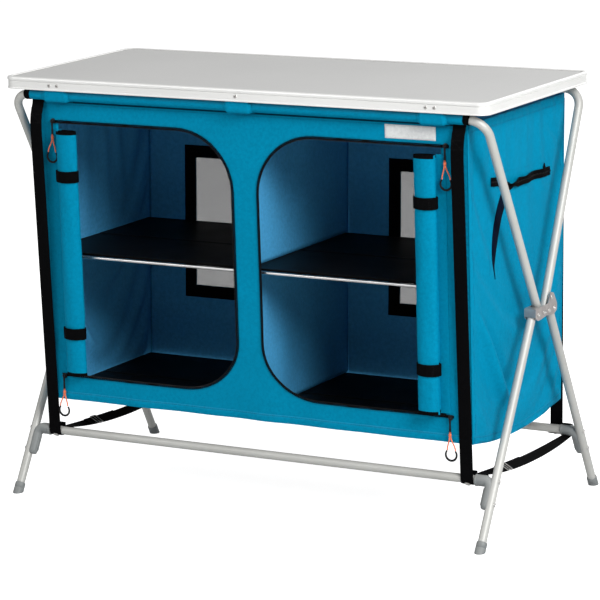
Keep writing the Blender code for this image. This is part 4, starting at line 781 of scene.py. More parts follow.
woven, given, made = new_group(
    "Woven Threads", {"Threads per Metre": 2200.0, "Unevenness": 0.5}, ["Height", "Shade", "Wear"])
place = piece_place(woven)
parts = put(woven, "ShaderNodeSeparateXYZ", {"Vector": place}).outputs
threads = []
for first, second, share in (("X", "Y", 0.8), ("Z", "Y", -0.6)):
    slant = work_out(woven, "MULTIPLY_ADD", parts[second], share, parts[first])
    counted = work_out(woven, "MULTIPLY", slant, given["Threads per Metre"])
    threads.append(work_out(woven, "SINE", counted))
slub = cloud(woven, place, 160.0, 4.0, 0.7)
uneven = work_out(woven, "MULTIPLY_ADD", slub, given["Unevenness"], work_out(woven, "MULTIPLY", *threads))
woven.links.new(uneven, made["Height"])
woven.links.new(slub, made["Shade"])
woven.links.new(cloud(woven, place, 5.0, 5.0, 0.6), made["Wear"])


def cloth_material(name, dark, light, threads_per_metre, roughness, sheen, depth, dusting=0.05):
    """Woven cloth in two close tones, with its threads in the bump and a little dust."""
    material, tree, shader = new_material(name, light)
    weave = use(tree, woven, {"Threads per Metre": threads_per_metre, "Unevenness": 0.5}).outputs
    colour = two_tones(tree, weave["Wear"], 0.3, 0.7, dark, light)
    deeper = tuple(c * 0.86 for c in dark[:3]) + (1.0,)
    colour = two_tones(tree, weave["Shade"], 0.30, 0.62, deeper, colour)
    dusty = use(tree, dust, {"Colour": colour, "Dust": dusting}).outputs["Colour"]
    finish_surface(
        tree, shader, dusty, weave["Wear"], (roughness - 0.05, roughness + 0.06),
        (weave["Height"], depth, 0.6),
        {"Specular IOR Level": 0.025, "Sheen Weight": sheen, "Sheen Roughness": 0.5})
    return material


blue_cloth = cloth_material(
    "blue polyester", tint(0, 130, 167), tint(0, 134, 172), 5200.0, 0.62, 0.0, 0.00012)
# The reverse is a lighter blue than the outside: painted light that brightens the shaded inside of the
# cupboard.
coated_reverse_painted_light = cloth_material(
    "coated blue reverse lightened as painted light", tint(72, 158, 208), tint(82, 168, 220), 5200.0, 0.5, 0.0, 0.00008, 0.0)
# A real thread, given a darker blue than the cloth as painted shade, so that its seams read as shadow
# lines.
blue_thread_darkened_as_shade = cloth_material(
    "blue sewing thread darkened as painted shade", tint(0, 92, 126), tint(0, 104, 140), 9000.0, 0.7, 0.04, 0.00003)
black_thread = cloth_material(
    "black sewing thread", tint(16, 16, 18), tint(28, 28, 30), 9000.0, 0.7, 0.04, 0.00003)


def sheet_faces(bm, rows):
    """Faces over a grid of points, row by row."""
    verts = [[bm.verts.new(p) for p in row] for row in rows]
    for low, high in zip(verts, verts[1:]):
        for k in range(len(low) - 1):
            bm.faces.new((low[k], low[k + 1], high[k + 1], high[k]))
    return verts


def give_thickness(piece, thickness, inner_slot=True, offset=0.0):
    solid = piece.modifiers.new("cloth thickness", "SOLIDIFY")
    solid.thickness = thickness
    solid.offset = offset
    if inner_slot:
        solid.material_offset = 1
    return piece


def facing(x, y, z):
    """The same way out at every point of a piece."""
    way = Vector((x, y, z))
    return lambda point: way


front_out, back_out, right_out = facing(0, -1, 0), facing(0, 1, 0), facing(1, 0, 0)


def walk(line, pitch, first):
    """Places at an even pitch along a line, each with the way that the line runs there."""
    travelled, due = 0.0, first
    for start, end in zip(line, line[1:]):
        length = (end - start).length
        if length < 1e-9:
            continue
        way = (end - start) / length
        while due < travelled + length:
            yield start + way * (due - travelled), way
            due += pitch
        travelled += length


STITCH_LONG, STITCH_GAP, STITCH_R = 0.0030, 0.0013, 0.00028


def sew(bm, line, outward, proud=0.00012):
    """Lock stitches along a line of points lying on the cloth."""
    pitch = STITCH_LONG + STITCH_GAP
    for middle, way in walk([Vector(p) for p in line], pitch, pitch / 2):
        normal = outward(middle)
        across = way.cross(normal).normalized()
        rings = []
        for step, share in ((-0.5, 0.35), (-0.3, 1.0), (0.3, 1.0), (0.5, 0.35)):
            centre = middle + way * (STITCH_LONG * step) + normal * (proud + STITCH_R * (share - 1.0))
            rings.append(loop_at(bm, centre, across, normal, STITCH_R * share, STITCH_R * share, 5))
        stack(bm, rings)


def door_edge(side, grow=0.0, end_x=DOOR_OUT, steps=16):
    """The D-shaped edge of a door opening, from its outer top end round to the bottom."""
    top, low, inner = DOOR_TOP + grow, DOOR_LOW - grow, DOOR_IN - grow
    rx, rz, bx, bz = (size + grow for size in DOOR_TOP_CURVE + DOOR_LOW_CURVE)
    points = [(x, top) for x in np.linspace(end_x, inner + rx, 28)]
    for k in range(1, steps + 1):
        angle = math.pi / 2 * k / steps
        points.append((inner + rx * (1 - math.sin(angle)), top - rz * (1 - math.cos(angle))))
    points += [(inner, z) for z in np.linspace(top - rz, low + bz, 24)[1:]]
    for k in range(1, steps + 1):
        angle = math.pi / 2 * k / steps
        points.append((inner + bx * (1 - math.cos(angle)), low + bz * (1 - math.sin(angle))))
    points += [(x, low) for x in np.linspace(inner + bx, end_x, 28)[1:]]
    return [(side * x, z) for x, z in points]


def from_door_edge(x, z):
    """Distance to the nearest straight edge of a door opening, for the puckers beside it."""
    ax = abs(x)
    dx = max(DOOR_IN - ax, 0.0, ax - DOOR_OUT)
    dz = max(DOOR_LOW - z, 0.0, z - DOOR_TOP)
    return math.hypot(dx, dz)


def slackness(x, z):
    """How far down the cloth a place is, and how free it hangs there; none at seams and rail."""
    down = min(max((RAIL_Z - 0.014 - z) / DROP, 0.0), 1.0)
    edge = min(max((CABINET_X - abs(x)) / 0.030, 0.0), 1.0)
    return down, edge, min(down * 14, 1.0)


def front_folds(x, z):
    """How far the front cloth stands forward of its flat hang at a place."""
    down, edge, free = slackness(x, z)
    out = soft(0.0026, x, 3.7, z * 0.55, 7.0) * (0.25 + 0.75 * down)
    out += soft(0.0012, x + 4.0, 1.3, z * 0.8, 19.0) * down
    pucker = math.exp(-from_door_edge(x, z) / 0.012)
    out += 0.00035 * pucker * math.sin(520 * (abs(x) + z)) * (0.4 + 0.6 * abs(soft(1, x, 0, z, 23)))
    if z < 0.232:
        ripple = math.sin(x * 46 + 2.2 * soft(1.0, x, 9.0, 0.0, 6.0))
        out += 0.0013 * ripple * (0.232 - z) / 0.052
    return out * edge * free


def front_y(z):
    """The front cloth hangs a little inwards on its way down."""
    return FRONT_TOP_Y + FRONT_LEAN * (RAIL_Z - z) / DROP


def front_at(x, z, out=0.0):
    """A point on the middle of the front cloth, or that far in front of it."""
    return Vector((x, front_y(z) - front_folds(x, z) - out, z))


SLEEVE_SEAM_Z = RAIL_Z - 0.0098
SLEEVE_END_Z = RAIL_Z - 0.0122
SLEEVE_ARC = math.radians(282.0)
sleeve_top_s = RAIL_Z + SLEEVE_R * SLEEVE_ARC
arc_end = (
    FRONT_RAIL[0] + SLEEVE_R * math.cos(SLEEVE_ARC), RAIL_Z + SLEEVE_R * math.sin(SLEEVE_ARC))
seam_at = (FRONT_TOP_Y - 0.0022, SLEEVE_SEAM_Z)
closing = math.dist(arc_end, seam_at)
sleeve_seam_s = sleeve_top_s + closing
sleeve_end_s = sleeve_seam_s + SLEEVE_SEAM_Z - SLEEVE_END_Z


def front_cut_to_place(x, s):
    """From the flat cut, x across and s up the cloth, to where it hangs."""
    if s <= RAIL_Z:
        return front_at(x, s)
    if s <= sleeve_top_s:
        angle = (s - RAIL_Z) / SLEEVE_R
        slack = 0.0004 * soft(1.0, x, 5.0, angle, 9.0) * math.sin(min(angle, math.pi))
        radius = SLEEVE_R + max(slack, 0.0)
        return Vector((x, FRONT_RAIL[0] + radius * math.cos(angle), RAIL_Z + radius * math.sin(angle)))
    if s <= sleeve_seam_s:
        t = (s - sleeve_top_s) / closing
        return Vector((x, arc_end[0] + (seam_at[0] - arc_end[0]) * t,
                       arc_end[1] + (seam_at[1] - arc_end[1]) * t))
    z = SLEEVE_SEAM_Z - (s - sleeve_seam_s)
    return front_at(x, z, 0.0020)


def in_polygon(x, y, loop):
    inside = False
    for (ax, ay), (bx, by) in zip(loop, loop[1:] + loop[:1]):
        if (ay > y) != (by > y) and x < (bx - ax) * (y - ay) / (by - ay) + ax:
            inside = not inside
    return inside


def even_loop(corners, spacing):
    """A closed outline with points at an even spacing along each of its sides."""
    points = []
    for (ax, ay), (bx, by) in zip(corners, corners[1:] + corners[:1]):
        count = max(int(math.hypot(bx - ax, by - ay) / spacing), 1)
        points += [(ax + (bx - ax) * k / count, ay + (by - ay) * k / count) for k in range(count)]
    return points


def cut_cloth(outline, holes, spacing, to_place):
    """Triangles over a flat cut with openings, each point then set where it hangs."""
    points, edges = [], []
    for loop in [outline] + holes:
        start = len(points)
        dense = even_loop(loop, spacing)
        points += dense
        edges += [(start + k, start + (k + 1) % len(dense)) for k in range(len(dense))]
    border = np.array(points)
    xs = np.arange(border[:, 0].min() + spacing / 2, border[:, 0].max(), spacing)
    ys = np.arange(border[:, 1].min() + spacing / 2, border[:, 1].max(), spacing)
    grid = np.array([(x + (spacing / 2 if j % 2 else 0.0), y) for j, y in enumerate(ys) for x in xs])
    grid = grid[grid[:, 0] < border[:, 0].max()]
    keep = np.ones(len(grid), bool)
    for start in range(0, len(border), 200):
        part = border[start:start + 200]
        gaps = np.hypot(grid[:, None, 0] - part[None, :, 0], grid[:, None, 1] - part[None, :, 1])
        keep &= gaps.min(axis=1) > spacing * 0.55
    points = [Vector(p) for p in border] + [Vector(p) for p in grid[keep]]
    flat, _, faces, _, _, _ = delaunay_2d_cdt(points, edges, [], 0, 1e-7)
    bm = bmesh.new()
    made = [bm.verts.new(to_place(p.x, p.y)) for p in flat]
    for face in faces:
        middle = sum((flat[i] for i in face), Vector((0.0, 0.0))) / len(face)
        cut_away = any(in_polygon(middle.x, middle.y, hole) for hole in holes)
        if in_polygon(middle.x, middle.y, outline) and not cut_away:
            bm.faces.new([made[i] for i in face])
    loose = [v for v in bm.verts if not v.link_faces]
    bmesh.ops.delete(bm, geom=loose, context="VERTS")
    return bm


def notched_cut(top_s, notch_low, notches):
    """The flat cut of a wall with a sleeve, notched at each clamp or clip."""
    outline = [(-CABINET_X, HEM_Z), (CABINET_X, HEM_Z), (CABINET_X, top_s)]
    for x in notches:
        outline += [(x + NOTCH_HALF, top_s), (x + NOTCH_HALF, notch_low)]
        outline += [(x - NOTCH_HALF, notch_low), (x - NOTCH_HALF, top_s)]
    return outline + [(-CABINET_X, top_s)]


def front_toward(point):
    """Away from the rail where the sleeve goes round it, and forwards elsewhere."""
    from_rail = Vector((0.0, point.y - FRONT_RAIL[0], point.z - RAIL_Z))
    on_sleeve = from_rail.length < SLEEVE_R + 0.002 and point.z > SLEEVE_SEAM_Z
    if on_sleeve and not (from_rail.y > 0 and from_rail.z < 0):
        return from_rail
    return front_out(point)


def cabinet_piece(name, bm, materials=None, replaces=(), sharp=60.0, toward=None,
                  folds=False):
    """A sewn piece of the cabinet; folds gives it a mesh of its own."""
    piece = finish_piece(name, bm, materials or blue_cloth, "cabinet", replaces, sharp, toward)
    if folds:
        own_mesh(piece)
    return piece


front_cut = notched_cut(sleeve_end_s, RAIL_Z - 0.0116, (CLAMP_X, 0.0, -CLAMP_X))
bm = cut_cloth(front_cut, [door_edge(side) for side, word in SIDES], 0.0062, front_cut_to_place)
front_cloth = cabinet_piece(
    "front_cloth", bm, [blue_cloth, coated_reverse_painted_light], ["front_panel"], toward=front_toward)
give_thickness(front_cloth, 0.0010)
corner_cut = (1 - math.pi / 4) * (math.prod(DOOR_TOP_CURVE) + math.prod(DOOR_LOW_CURVE))

# A bulge of the sleeve's cloth goes over each clamp, and moves with it.
tuck = (seam_at[0] - 0.0006, SLEEVE_END_Z - 0.0002)
bulge_line = [tuck, (-0.2108, 0.7547), (-0.2165, 0.7544), (-0.2212, 0.7546), (-0.2244, 0.7558),
              (-0.2259, 0.7584), (-0.2263, 0.7630), (-0.2263, 0.7700), (-0.2263, 0.7768)]
sleeve_line = [tuck] + [
    (FRONT_RAIL[0] - 0.0102 * math.sin(math.radians(a)), RAIL_Z - 0.0102 * math.cos(math.radians(a)))
    for a in (-11, 15, 35, 55, 75, 90, 105, 125)
]
for x, word in ((-CLAMP_X, "left"), (0.0, "middle"), (CLAMP_X, "right")):
    bm = bmesh.new()
    rows = []
    for near, far in zip(sleeve_line, bulge_line):
        row = []
        for k in range(41):
            u = -1.0 + k / 20
            rise = min(max((1.0 - abs(u)) / 0.30, 0.0), 1.0)
            rise = rise * rise * (3 - 2 * rise)
            slack = 0.0004 * soft(1.0, x + u * 0.02, near[0] * 3, near[1], 60.0)
            y = near[0] + (far[0] - near[0]) * rise - abs(slack)
            row.append(Vector((x + u * 0.0290, y, near[1] + (far[1] - near[1]) * rise)))
        rows.append(row)
    sheet_faces(bm, rows)
    cover = finish_piece(
        f"clamp_cover_{word}", bm, blue_cloth, "worktop", sharp=60.0,
        toward=lambda p: Vector((0.0, p.y - FRONT_RAIL[0], p.z - RAIL_Z - 0.002)))
    rounder = cover.modifiers.new("rounder", "SUBSURF")
    rounder.levels = rounder.render_levels = 1
    give_thickness(cover, 0.0007, inner_slot=False)

# A turned hem along the foot, and the rows of stitches.
HEM_TALL = 0.0150
bm = bmesh.new()
hem_xs = np.linspace(-CABINET_X + 0.001, CABINET_X - 0.001, 150)
sheet_faces(bm, [[front_at(x, HEM_Z + up, out) for x in hem_xs] for up, out in (
    (0.0, 0.0002), (-0.0002, 0.0010), (0.0006, 0.0014), (HEM_TALL * 0.5, 0.0015),
    (HEM_TALL - 0.0008, 0.0013), (HEM_TALL, 0.0004),
)])
cabinet_piece("front_hem", bm, toward=front_out)

bm = bmesh.new()
sew(bm, [front_at(x, HEM_Z + HEM_TALL - 0.0022, 0.0014) for x in hem_xs], front_out)
seams = [[front_at(x, SLEEVE_END_Z - 0.0060, 0.0007) for x in np.linspace(-0.424, 0.424, 160)]]
for side, word in SIDES:
    seams.append([front_at(side * 0.4275, z, 0.0006) for z in np.linspace(HEM_Z + 0.016, 0.742, 90)])
    for grow in (0.0015, 0.0048):
        seams.append([front_at(x, z, 0.0016) for x, z in door_edge(side, grow + 0.0010)])
for line in seams:
    sew(bm, line, front_out)
cabinet_piece("front_stitching", bm, blue_thread_darkened_as_shade)

# A narrow dark blue strip along the sleeve's lower end is painted shadow: it draws the shadow in the
# crease under the sleeve.
painted_crease_shadow = cloth_material(
    "deep blue painted crease shadow", tint(0, 52, 70), tint(0, 60, 80), 5200.0, 0.7, 0.0, 0.00008, 0.0)
bm = bmesh.new()
sheet_faces(bm, [
    [front_at(x, SLEEVE_END_Z + up, out) for x in np.linspace(-0.4496, 0.4496, 220)]
    for up, out in ((-0.0020, 0.0008), (-0.0022, 0.0026), (-0.0018, 0.0035), (0.0004, 0.0035),
                    (0.0008, 0.0030))
])
cabinet_piece("sleeve_painted_crease_shadow", bm, painted_crease_shadow, toward=front_out)

# A cuff of black tape closes each end of the sleeve over the start of the bend;
# its black also paints the shade under the rim at the sleeve's end.
black_tape = cloth_material(
    "black woven tape", tint(6, 6, 7), tint(11, 11, 12), 3000.0, 0.72, 0.0, 0.00016, 0.006)
CUFF_R, CUFF_STEPS = 0.0100, 10
bend_x = LEG_X - BEND_R
cuff_down = heading(FRONT_RAIL, FRONT_FRAME_PIVOT)
for side, word in SIDES:
    line, radii = [], []
    for k in range(CUFF_STEPS + 1):
        x = CABINET_X - 0.0015 + 0.0115 * k / CUFF_STEPS
        drop = BEND_R - math.sqrt(BEND_R ** 2 - max(x - bend_x, 0.0) ** 2)
        line.append(side_point(side * x, along(FRONT_RAIL, cuff_down, drop)))
        radii.append(CUFF_R - (0.0006 if k in (0, CUFF_STEPS) else 0.0))
    bm = bmesh.new()
    sweep(bm, line, radii, 32, Vector((0, 1, 0)), caps=False)
    cuff = cabinet_piece(f"sleeve_cuff_painted_shade_{word}", bm, black_tape)
    give_thickness(cuff, 0.0008, inner_slot=False, offset=-1.0)


# Side walls
# One piece of the blue cloth each side, sewn to the front and the back along
# piped corner seams and gathered a little at the shelf, so that it hangs in
# long slanting folds. A doubled band closes its top, a hem its curved foot.

SIDE_COLUMNS, SIDE_ROWS = 44, 66
SIDE_TOP_Z, SHELF_Z, FLOOR_Z = 0.7563, 0.461, 0.188
BACK_TOP_Y = REAR_RAIL[0] + SLEEVE_R
BACK_LEAN = 0.0235


def back_y(z):
    """The back cloth too hangs inwards, to clear the legs."""
    return BACK_TOP_Y - BACK_LEAN * (RAIL_Z - z) / DROP


def side_foot(t):
    """Height of the wall's foot, which is cut in a shallow curve."""
    return HEM_Z - 0.013 * math.sin(math.pi * t) ** 0.8


def side_flat_place(t, v):
    z = side_foot(t) + (SIDE_TOP_Z - side_foot(t)) * v
    front = front_y(z) + 0.0007
    back = back_y(z) - 0.0007
    return front + (back - front) * t, z


def side_swell(t, z):
    """The even outward bow of a hanging wall, none at its sewn edges."""
    across = math.sin(math.pi * t)
    height = math.sin(math.pi * min(max((SIDE_TOP_Z - z) / (SIDE_TOP_Z - HEM_Z + 0.05), 0), 1))
    return 0.006 * across ** 0.7 * (0.35 + 0.65 * height)


def crease(t, z, t0, z0, lean, wide, low, high):
    """A soft crease down the wall: 1 along its line, fading out at both its ends."""
    off = (t - t0 - (z0 - z) * lean) / wide
    ends = min((z - low) / 0.05, (high - z) / 0.05, 1.0)
    return math.exp(-off * off) * max(ends, 0.0)


def shelf_pull(t, z):
    """The main fold: it starts at the shelf's front end, widens and bends down to the foot."""
    below = max(0.429 - z, 0.0)
    off = (t - (0.057 + 1.95 * below - 1.6 * below * below)) / (0.017 + 0.21 * below)
    ends = min(below / 0.045, max(z - 0.212, 0.0) / 0.05, 1.0)
    return ends * (math.exp(-(((off + 1.0) / 0.8) ** 2)) - 0.95 * math.exp(-(((off - 1.0) / 0.8) ** 2)))


def side_folds(side, t, z):
    """Given folds: the slanting pull from the shelf and softer ones beside it."""
    column = crease(t, z, 0.085, 0.700, 0.0, 0.026, 0.610, 0.765)
    patch = crease(t, z, 0.095, 0.600, 0.3, 0.040, 0.540, 0.650)
    rear = crease(t, z, 0.880, 0.690, 2.6, 0.035, 0.600, 0.745)
    broad = soft(1.0, t * 3.4 - side, z * 4.0, 1.1, 1.0)
    across = math.sin(math.pi * t) ** 0.6
    return across * (0.0180 * shelf_pull(t, z) - 0.0110 * column - 0.0080 * patch
                     - 0.0100 * rear + 0.0045 * broad)


def inner_limit(z):
    """Nearest that the wall may come to the boards and rods that touch it."""
    near = min(abs(z - SHELF_Z) - 0.012, abs(z - FLOOR_Z) - 0.010)
    return -min(max(near, 0.0) * 0.45, 0.010)


def hang_wall(side):
    """Lets the wall's cloth settle into its folds, held along its sewn edges."""
    bm = bmesh.new()
    rows = []
    for j in range(SIDE_ROWS + 1):
        row = []
        for i in range(SIDE_COLUMNS + 1):
            t, v = i / SIDE_COLUMNS, j / SIDE_ROWS
            y, z = side_flat_place(t, v)
            out = side_swell(t, z) + side_folds(side, t, z)
            row.append(Vector((side * (CABINET_X - 0.0004 + out), y, z)))
        rows.append(row)
    sheet_faces(bm, rows)
    mesh = bpy.data.meshes.new("wall_to_hang")
    bm.to_mesh(mesh)
    bm.free()
    wall = bpy.data.objects.new("wall_to_hang", mesh)
    scene.collection.objects.link(wall)
    start = np.array([v.co for v in mesh.vertices])
    held = wall.vertex_groups.new(name="held")
    for index, point in enumerate(start):
        j, i = divmod(index, SIDE_COLUMNS + 1)
        sewn = i in (0, SIDE_COLUMNS) or j == SIDE_ROWS
        at_shelf = abs(point[2] - SHELF_Z) < 0.006 and not 0.07 <= i / SIDE_COLUMNS <= 0.93
        if sewn or at_shelf:
            held.add([index], 1.0, "REPLACE")
    hang = wall.modifiers.new("hang", "CLOTH")
    for setting, value in (
        ("quality", 7), ("mass", 0.12), ("tension_stiffness", 25), ("compression_stiffness", 25),
        ("shear_stiffness", 10), ("bending_stiffness", 0.6), ("shrink_min", -0.012),
        ("vertex_group_mass", "held"),
    ):
        setattr(hang.settings, setting, value)
    hang.collision_settings.use_collision = False
    hang.point_cache.frame_start = 1
    hang.point_cache.frame_end = 30
    for step in range(1, 29):
        scene.frame_set(step)
    evaluated = wall.evaluated_get(bpy.context.evaluated_depsgraph_get())
    settled = np.array([v.co for v in evaluated.data.vertices])
    start = start + np.clip(settled - start, -0.005, 0.005)
    scene.frame_set(1)
    bpy.data.objects.remove(wall)
    for point in start:
        out = point[0] * side - CABINET_X
        point[0] = side * (CABINET_X + min(max(out, inner_limit(point[2])), 0.020))
    return start.reshape(SIDE_ROWS + 1, SIDE_COLUMNS + 1, 3)


def sample_wall(wall, side, t, v, out=0.0):
    """A point of the hung wall, t from front to back and v from foot to top."""
    a = min(max(t, 0.0), 1.0) * SIDE_COLUMNS
    b = min(max(v, 0.0), 1.0) * SIDE_ROWS
    i, j = min(int(a), SIDE_COLUMNS - 1), min(int(b), SIDE_ROWS - 1)
    fa, fb = a - i, b - j
    low = wall[j, i] * (1 - fa) + wall[j, i + 1] * fa
    high = wall[j + 1, i] * (1 - fa) + wall[j + 1, i + 1] * fa
    point = low * (1 - fb) + high * fb
    return Vector(point) + Vector((side * out, 0.0, 0.0))


walls = {}
TOP_BAND = 0.017
SIDE_HEM = 0.014
for side, word in SIDES:
    side_out = facing(side, 0, 0)
    wall = walls[side] = hang_wall(side)
    bm = bmesh.new()
    sheet_faces(bm, [[Vector(p) for p in row] for row in wall])
    cloth = cabinet_piece(
        f"side_cloth_{word}", bm, [blue_cloth, coated_reverse_painted_light], [f"side_panel_{word}"],
        sharp=70.0, toward=side_out, folds=True)
    finer = cloth.modifiers.new("finer", "SUBSURF")
    finer.levels = finer.render_levels = 1
    give_thickness(cloth, 0.0010)

    bm = bmesh.new()
    ts = np.linspace(0.004, 0.996, 70)
    tall = SIDE_TOP_Z - HEM_Z
    for low, high in ((1 - TOP_BAND / tall, 1.0), (0.0, SIDE_HEM / tall)):
        sheet_faces(bm, [
            [sample_wall(wall, side, t, low + (high - low) * share, out) for t in ts] for share, out in (
                (0.0, 0.0004), (0.03, 0.0013), (0.5, 0.0015), (0.97, 0.0013), (1.0, 0.0003))
        ])
    cabinet_piece(f"side_hem_bands_{word}", bm, toward=side_out, folds=True)

    bm = bmesh.new()
    for v in (1 - (TOP_BAND - 0.002) / tall, (SIDE_HEM - 0.002) / tall):
        sew(bm, [sample_wall(wall, side, t, v, 0.0013) for t in ts], side_out)
    for t in (0.022, 0.978):
        sew(bm, [sample_wall(wall, side, t, v, 0.0004) for v in np.linspace(0.03, 0.965, 80)], side_out)
    cabinet_piece(f"side_stitching_{word}", bm, blue_thread_darkened_as_shade, folds=True)

    # Piping closes the two upright corners.
    for t, corner in ((0.0, "front"), (1.0, "rear")):
        bm = bmesh.new()
        line = [sample_wall(wall, side, t, v) for v in np.linspace(0.0, 0.985, 60)]
        shift = -0.0006 if t == 0.0 else 0.0010
        line = [Vector((side * (CABINET_X - 0.0004), p.y + shift, p.z)) for p in line]
        sweep(bm, line, 0.0015, 8, Vector((1, 0, 0)))
        cabinet_piece(f"{corner}_corner_piping_{word}", bm, folds=True)


# Back, windows and divider
# The back wall is blue cloth with two openings bound in black tape. A dark
# knitted net is sewn behind each. A plain wall of the same cloth hangs in the
# middle and divides the cupboard; the shelf boards lie in its slot.

WINDOW_IN, WINDOW_OUT = 0.088, 0.3665
WINDOW_LOW, WINDOW_HIGH = 0.310, 0.614
WINDOW_BORDER = 0.024


def back_folds(x, z):
    down, edge, free = slackness(x, z)
    out = soft(0.0032, x + 7.0, 2.1, z * 0.5, 6.0) * (0.3 + 0.7 * down)
    out += soft(0.0014, x, 8.1, z, 17.0) * down
    return out * edge * free


def back_at(x, z, out=0.0):
    """A point on the middle of the back cloth, or that far behind it."""
    return Vector((x, back_y(z) + back_folds(x, z) + out, z))


def back_cut_to_place(x, s):
    if s <= RAIL_Z:
        return back_at(x, s)
    angle = min(s - RAIL_Z, SLEEVE_R * SLEEVE_ARC) / SLEEVE_R
    return Vector((x, REAR_RAIL[0] + SLEEVE_R * math.cos(angle), RAIL_Z + SLEEVE_R * math.sin(angle)))


def back_toward(point):
    """Away from the rail on the sleeve, and backwards elsewhere."""
    if point.z > RAIL_Z - 0.0095 and point.y < BACK_TOP_Y - 0.0006:
        return Vector((0.0, point.y - REAR_RAIL[0], point.z - RAIL_Z))
    return back_out(point)


window_holes = []
for side, word in SIDES:
    near, far = sorted((side * (WINDOW_IN + WINDOW_BORDER), side * (WINDOW_OUT - WINDOW_BORDER)))
    low, high = WINDOW_LOW + WINDOW_BORDER, WINDOW_HIGH - WINDOW_BORDER
    window_holes.append([(near, low), (far, low), (far, high), (near, high)])
back_cut = notched_cut(sleeve_top_s, RAIL_Z - 0.0075, (CLAMP_X, -CLAMP_X))
bm = cut_cloth(back_cut, window_holes, 0.0085, back_cut_to_place)
back_cloth = cabinet_piece("back_cloth", bm, [blue_cloth, coated_reverse_painted_light], ["back_panel"],
                           toward=back_toward, folds=True)
give_thickness(back_cloth, 0.0010)

bm = bmesh.new()
back_xs = np.linspace(-CABINET_X + 0.001, CABINET_X - 0.001, 110)
sheet_faces(bm, [[back_at(x, HEM_Z + up, out) for x in back_xs] for up, out in (
    (0.0, 0.0002), (0.0, 0.0011), (0.0070, 0.0015), (0.0142, 0.0013), (0.0150, 0.0004),
)])
cabinet_piece("back_hem", bm, toward=back_out, folds=True)
bm = bmesh.new()
sew(bm, [back_at(x, HEM_Z + 0.0128, 0.0014) for x in back_xs], back_out)
for a, b in ((-0.448, -0.411), (-0.369, 0.369), (0.411, 0.448)):
    sew(bm, [back_at(x, RAIL_Z - 0.0150, 0.0006) for x in np.linspace(a, b, 60)], back_out)
cabinet_piece("back_stitching", bm, blue_thread_darkened_as_shade, folds=True)


def box_outline(near, far, low, high, step=0.012):
    return even_loop([(near, low), (far, low), (far, high), (near, high)], step)


def drawn_in(place, low, high, inset):
    """Where a place between two edges comes when both are drawn in."""
    return low + inset + (place - low) * (high - low - 2 * inset) / (high - low)


def window_tape(bm, side, inset, lift, rise):
    """A flat border of tape round a window of the back, with its edges turned down."""
    near, far = sorted((side * WINDOW_IN, side * WINDOW_OUT))
    edges = (near + inset, far - inset, WINDOW_LOW + inset, WINDOW_HIGH - inset)
    wide = WINDOW_BORDER - inset
    outer = box_outline(*edges)
    inner = [(drawn_in(x, *edges[:2], wide), drawn_in(z, *edges[2:], wide)) for x, z in outer]
    rings = []
    for loop, up in ((outer, 0.0), (outer, rise), (inner, rise), (inner, 0.0)):
        rings.append([bm.verts.new(back_at(x, z, lift + up)) for x, z in loop])
    for first, second in zip(rings, rings[1:] + rings[:1]):
        skin(bm, first, second)


bm = bmesh.new()
stitches = bmesh.new()
for side, word in SIDES:
    window_tape(bm, side, 0.0, -0.0022, -0.0008)
    window_tape(bm, side, 0.010, 0.0006, 0.0008)
    near, far = sorted((side * WINDOW_IN, side * WINDOW_OUT))
    for inset in (0.012, 0.0215):
        line = box_outline(near + inset, far - inset, WINDOW_LOW + inset, WINDOW_HIGH - inset)
        for out, outward in ((0.0015, back_out), (-0.0030, front_out)):
            sew(stitches, [back_at(x, z, out) for x, z in line + line[:1]], outward)
cabinet_piece("window_binding", bm, black_tape, sharp=50.0, folds=True)
cabinet_piece("window_stitching", stitches, black_thread, folds=True)

knit, given, made = new_group(
    "Knitted Net", {"Holes per Metre": 620.0, "Thread Share": 0.45}, ["Thread", "Height"])
parts = put(knit, "ShaderNodeSeparateXYZ", {"Vector": piece_place(knit)}).outputs
pulses = []
for lean in (1.0, -1.0):
    slant = work_out(knit, "MULTIPLY_ADD", parts["Z"], lean, parts["X"])
    counted = work_out(knit, "MULTIPLY", slant, given["Holes per Metre"])
    pulses.append(work_out(knit, "PINGPONG", counted, 1.0))
nearest = work_out(knit, "MINIMUM", *pulses)
knit.links.new(work_out(knit, "LESS_THAN", nearest, given["Thread Share"]), made["Thread"])
knit.links.new(nearest, made["Height"])

net_cloth, tree, shader = new_material("grey knitted net", tint(64, 64, 66))
knitting = use(tree, knit, {"Holes per Metre": 700.0, "Thread Share": 0.59}).outputs
fleck = use(tree, speckle, {"Grains per Metre": 900.0, "Patch Size": 12.0}).outputs
colour = two_tones(tree, fleck["Patches"], 0.3, 0.7, tint(50, 50, 52), tint(64, 64, 66))
tree.links.new(knitting["Thread"], shader.inputs["Alpha"])
finish_surface(tree, shader, colour, fleck["Grain"], (0.55, 0.75), (knitting["Height"], 0.0002, 0.5))

bm = bmesh.new()
for side, word in SIDES:
    near, far = sorted((side * (WINDOW_IN + 0.004), side * (WINDOW_OUT - 0.004)))
    sheet_faces(bm, [[back_at(x, z, -0.0016) for x in np.linspace(near, far, 36)]
                     for z in np.linspace(WINDOW_LOW + 0.004, WINDOW_HIGH - 0.004, 40)])
net = cabinet_piece("window_nets", bm, net_cloth, ["window_net"], toward=back_out, folds=True)

SHELF_BOARD_LOW, SHELF_BOARD_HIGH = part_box("shelf_board_front")
SHELF_REAR_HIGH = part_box("shelf_board_rear")[1]
FLOOR_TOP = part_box("floor_board_front")[1].z
SLOT_Z = 0.463
shelf_slot = (SHELF_BOARD_LOW.z - 0.0006, SHELF_BOARD_HIGH.z + 0.0006)


def divider_place(t, z):
    front, back = front_y(z) + 0.0014, back_y(z) - 0.0030
    y = front + (back - front) * t
    free = math.sin(math.pi * t) * min(abs(z - SLOT_Z) / 0.05, 1.0) * min((z - FLOOR_TOP) / 0.04, 1.0)
    return Vector((soft(0.0060, 0.3, y * 1.2, z * 0.7, 9.0) * max(free, 0.0), y, z))


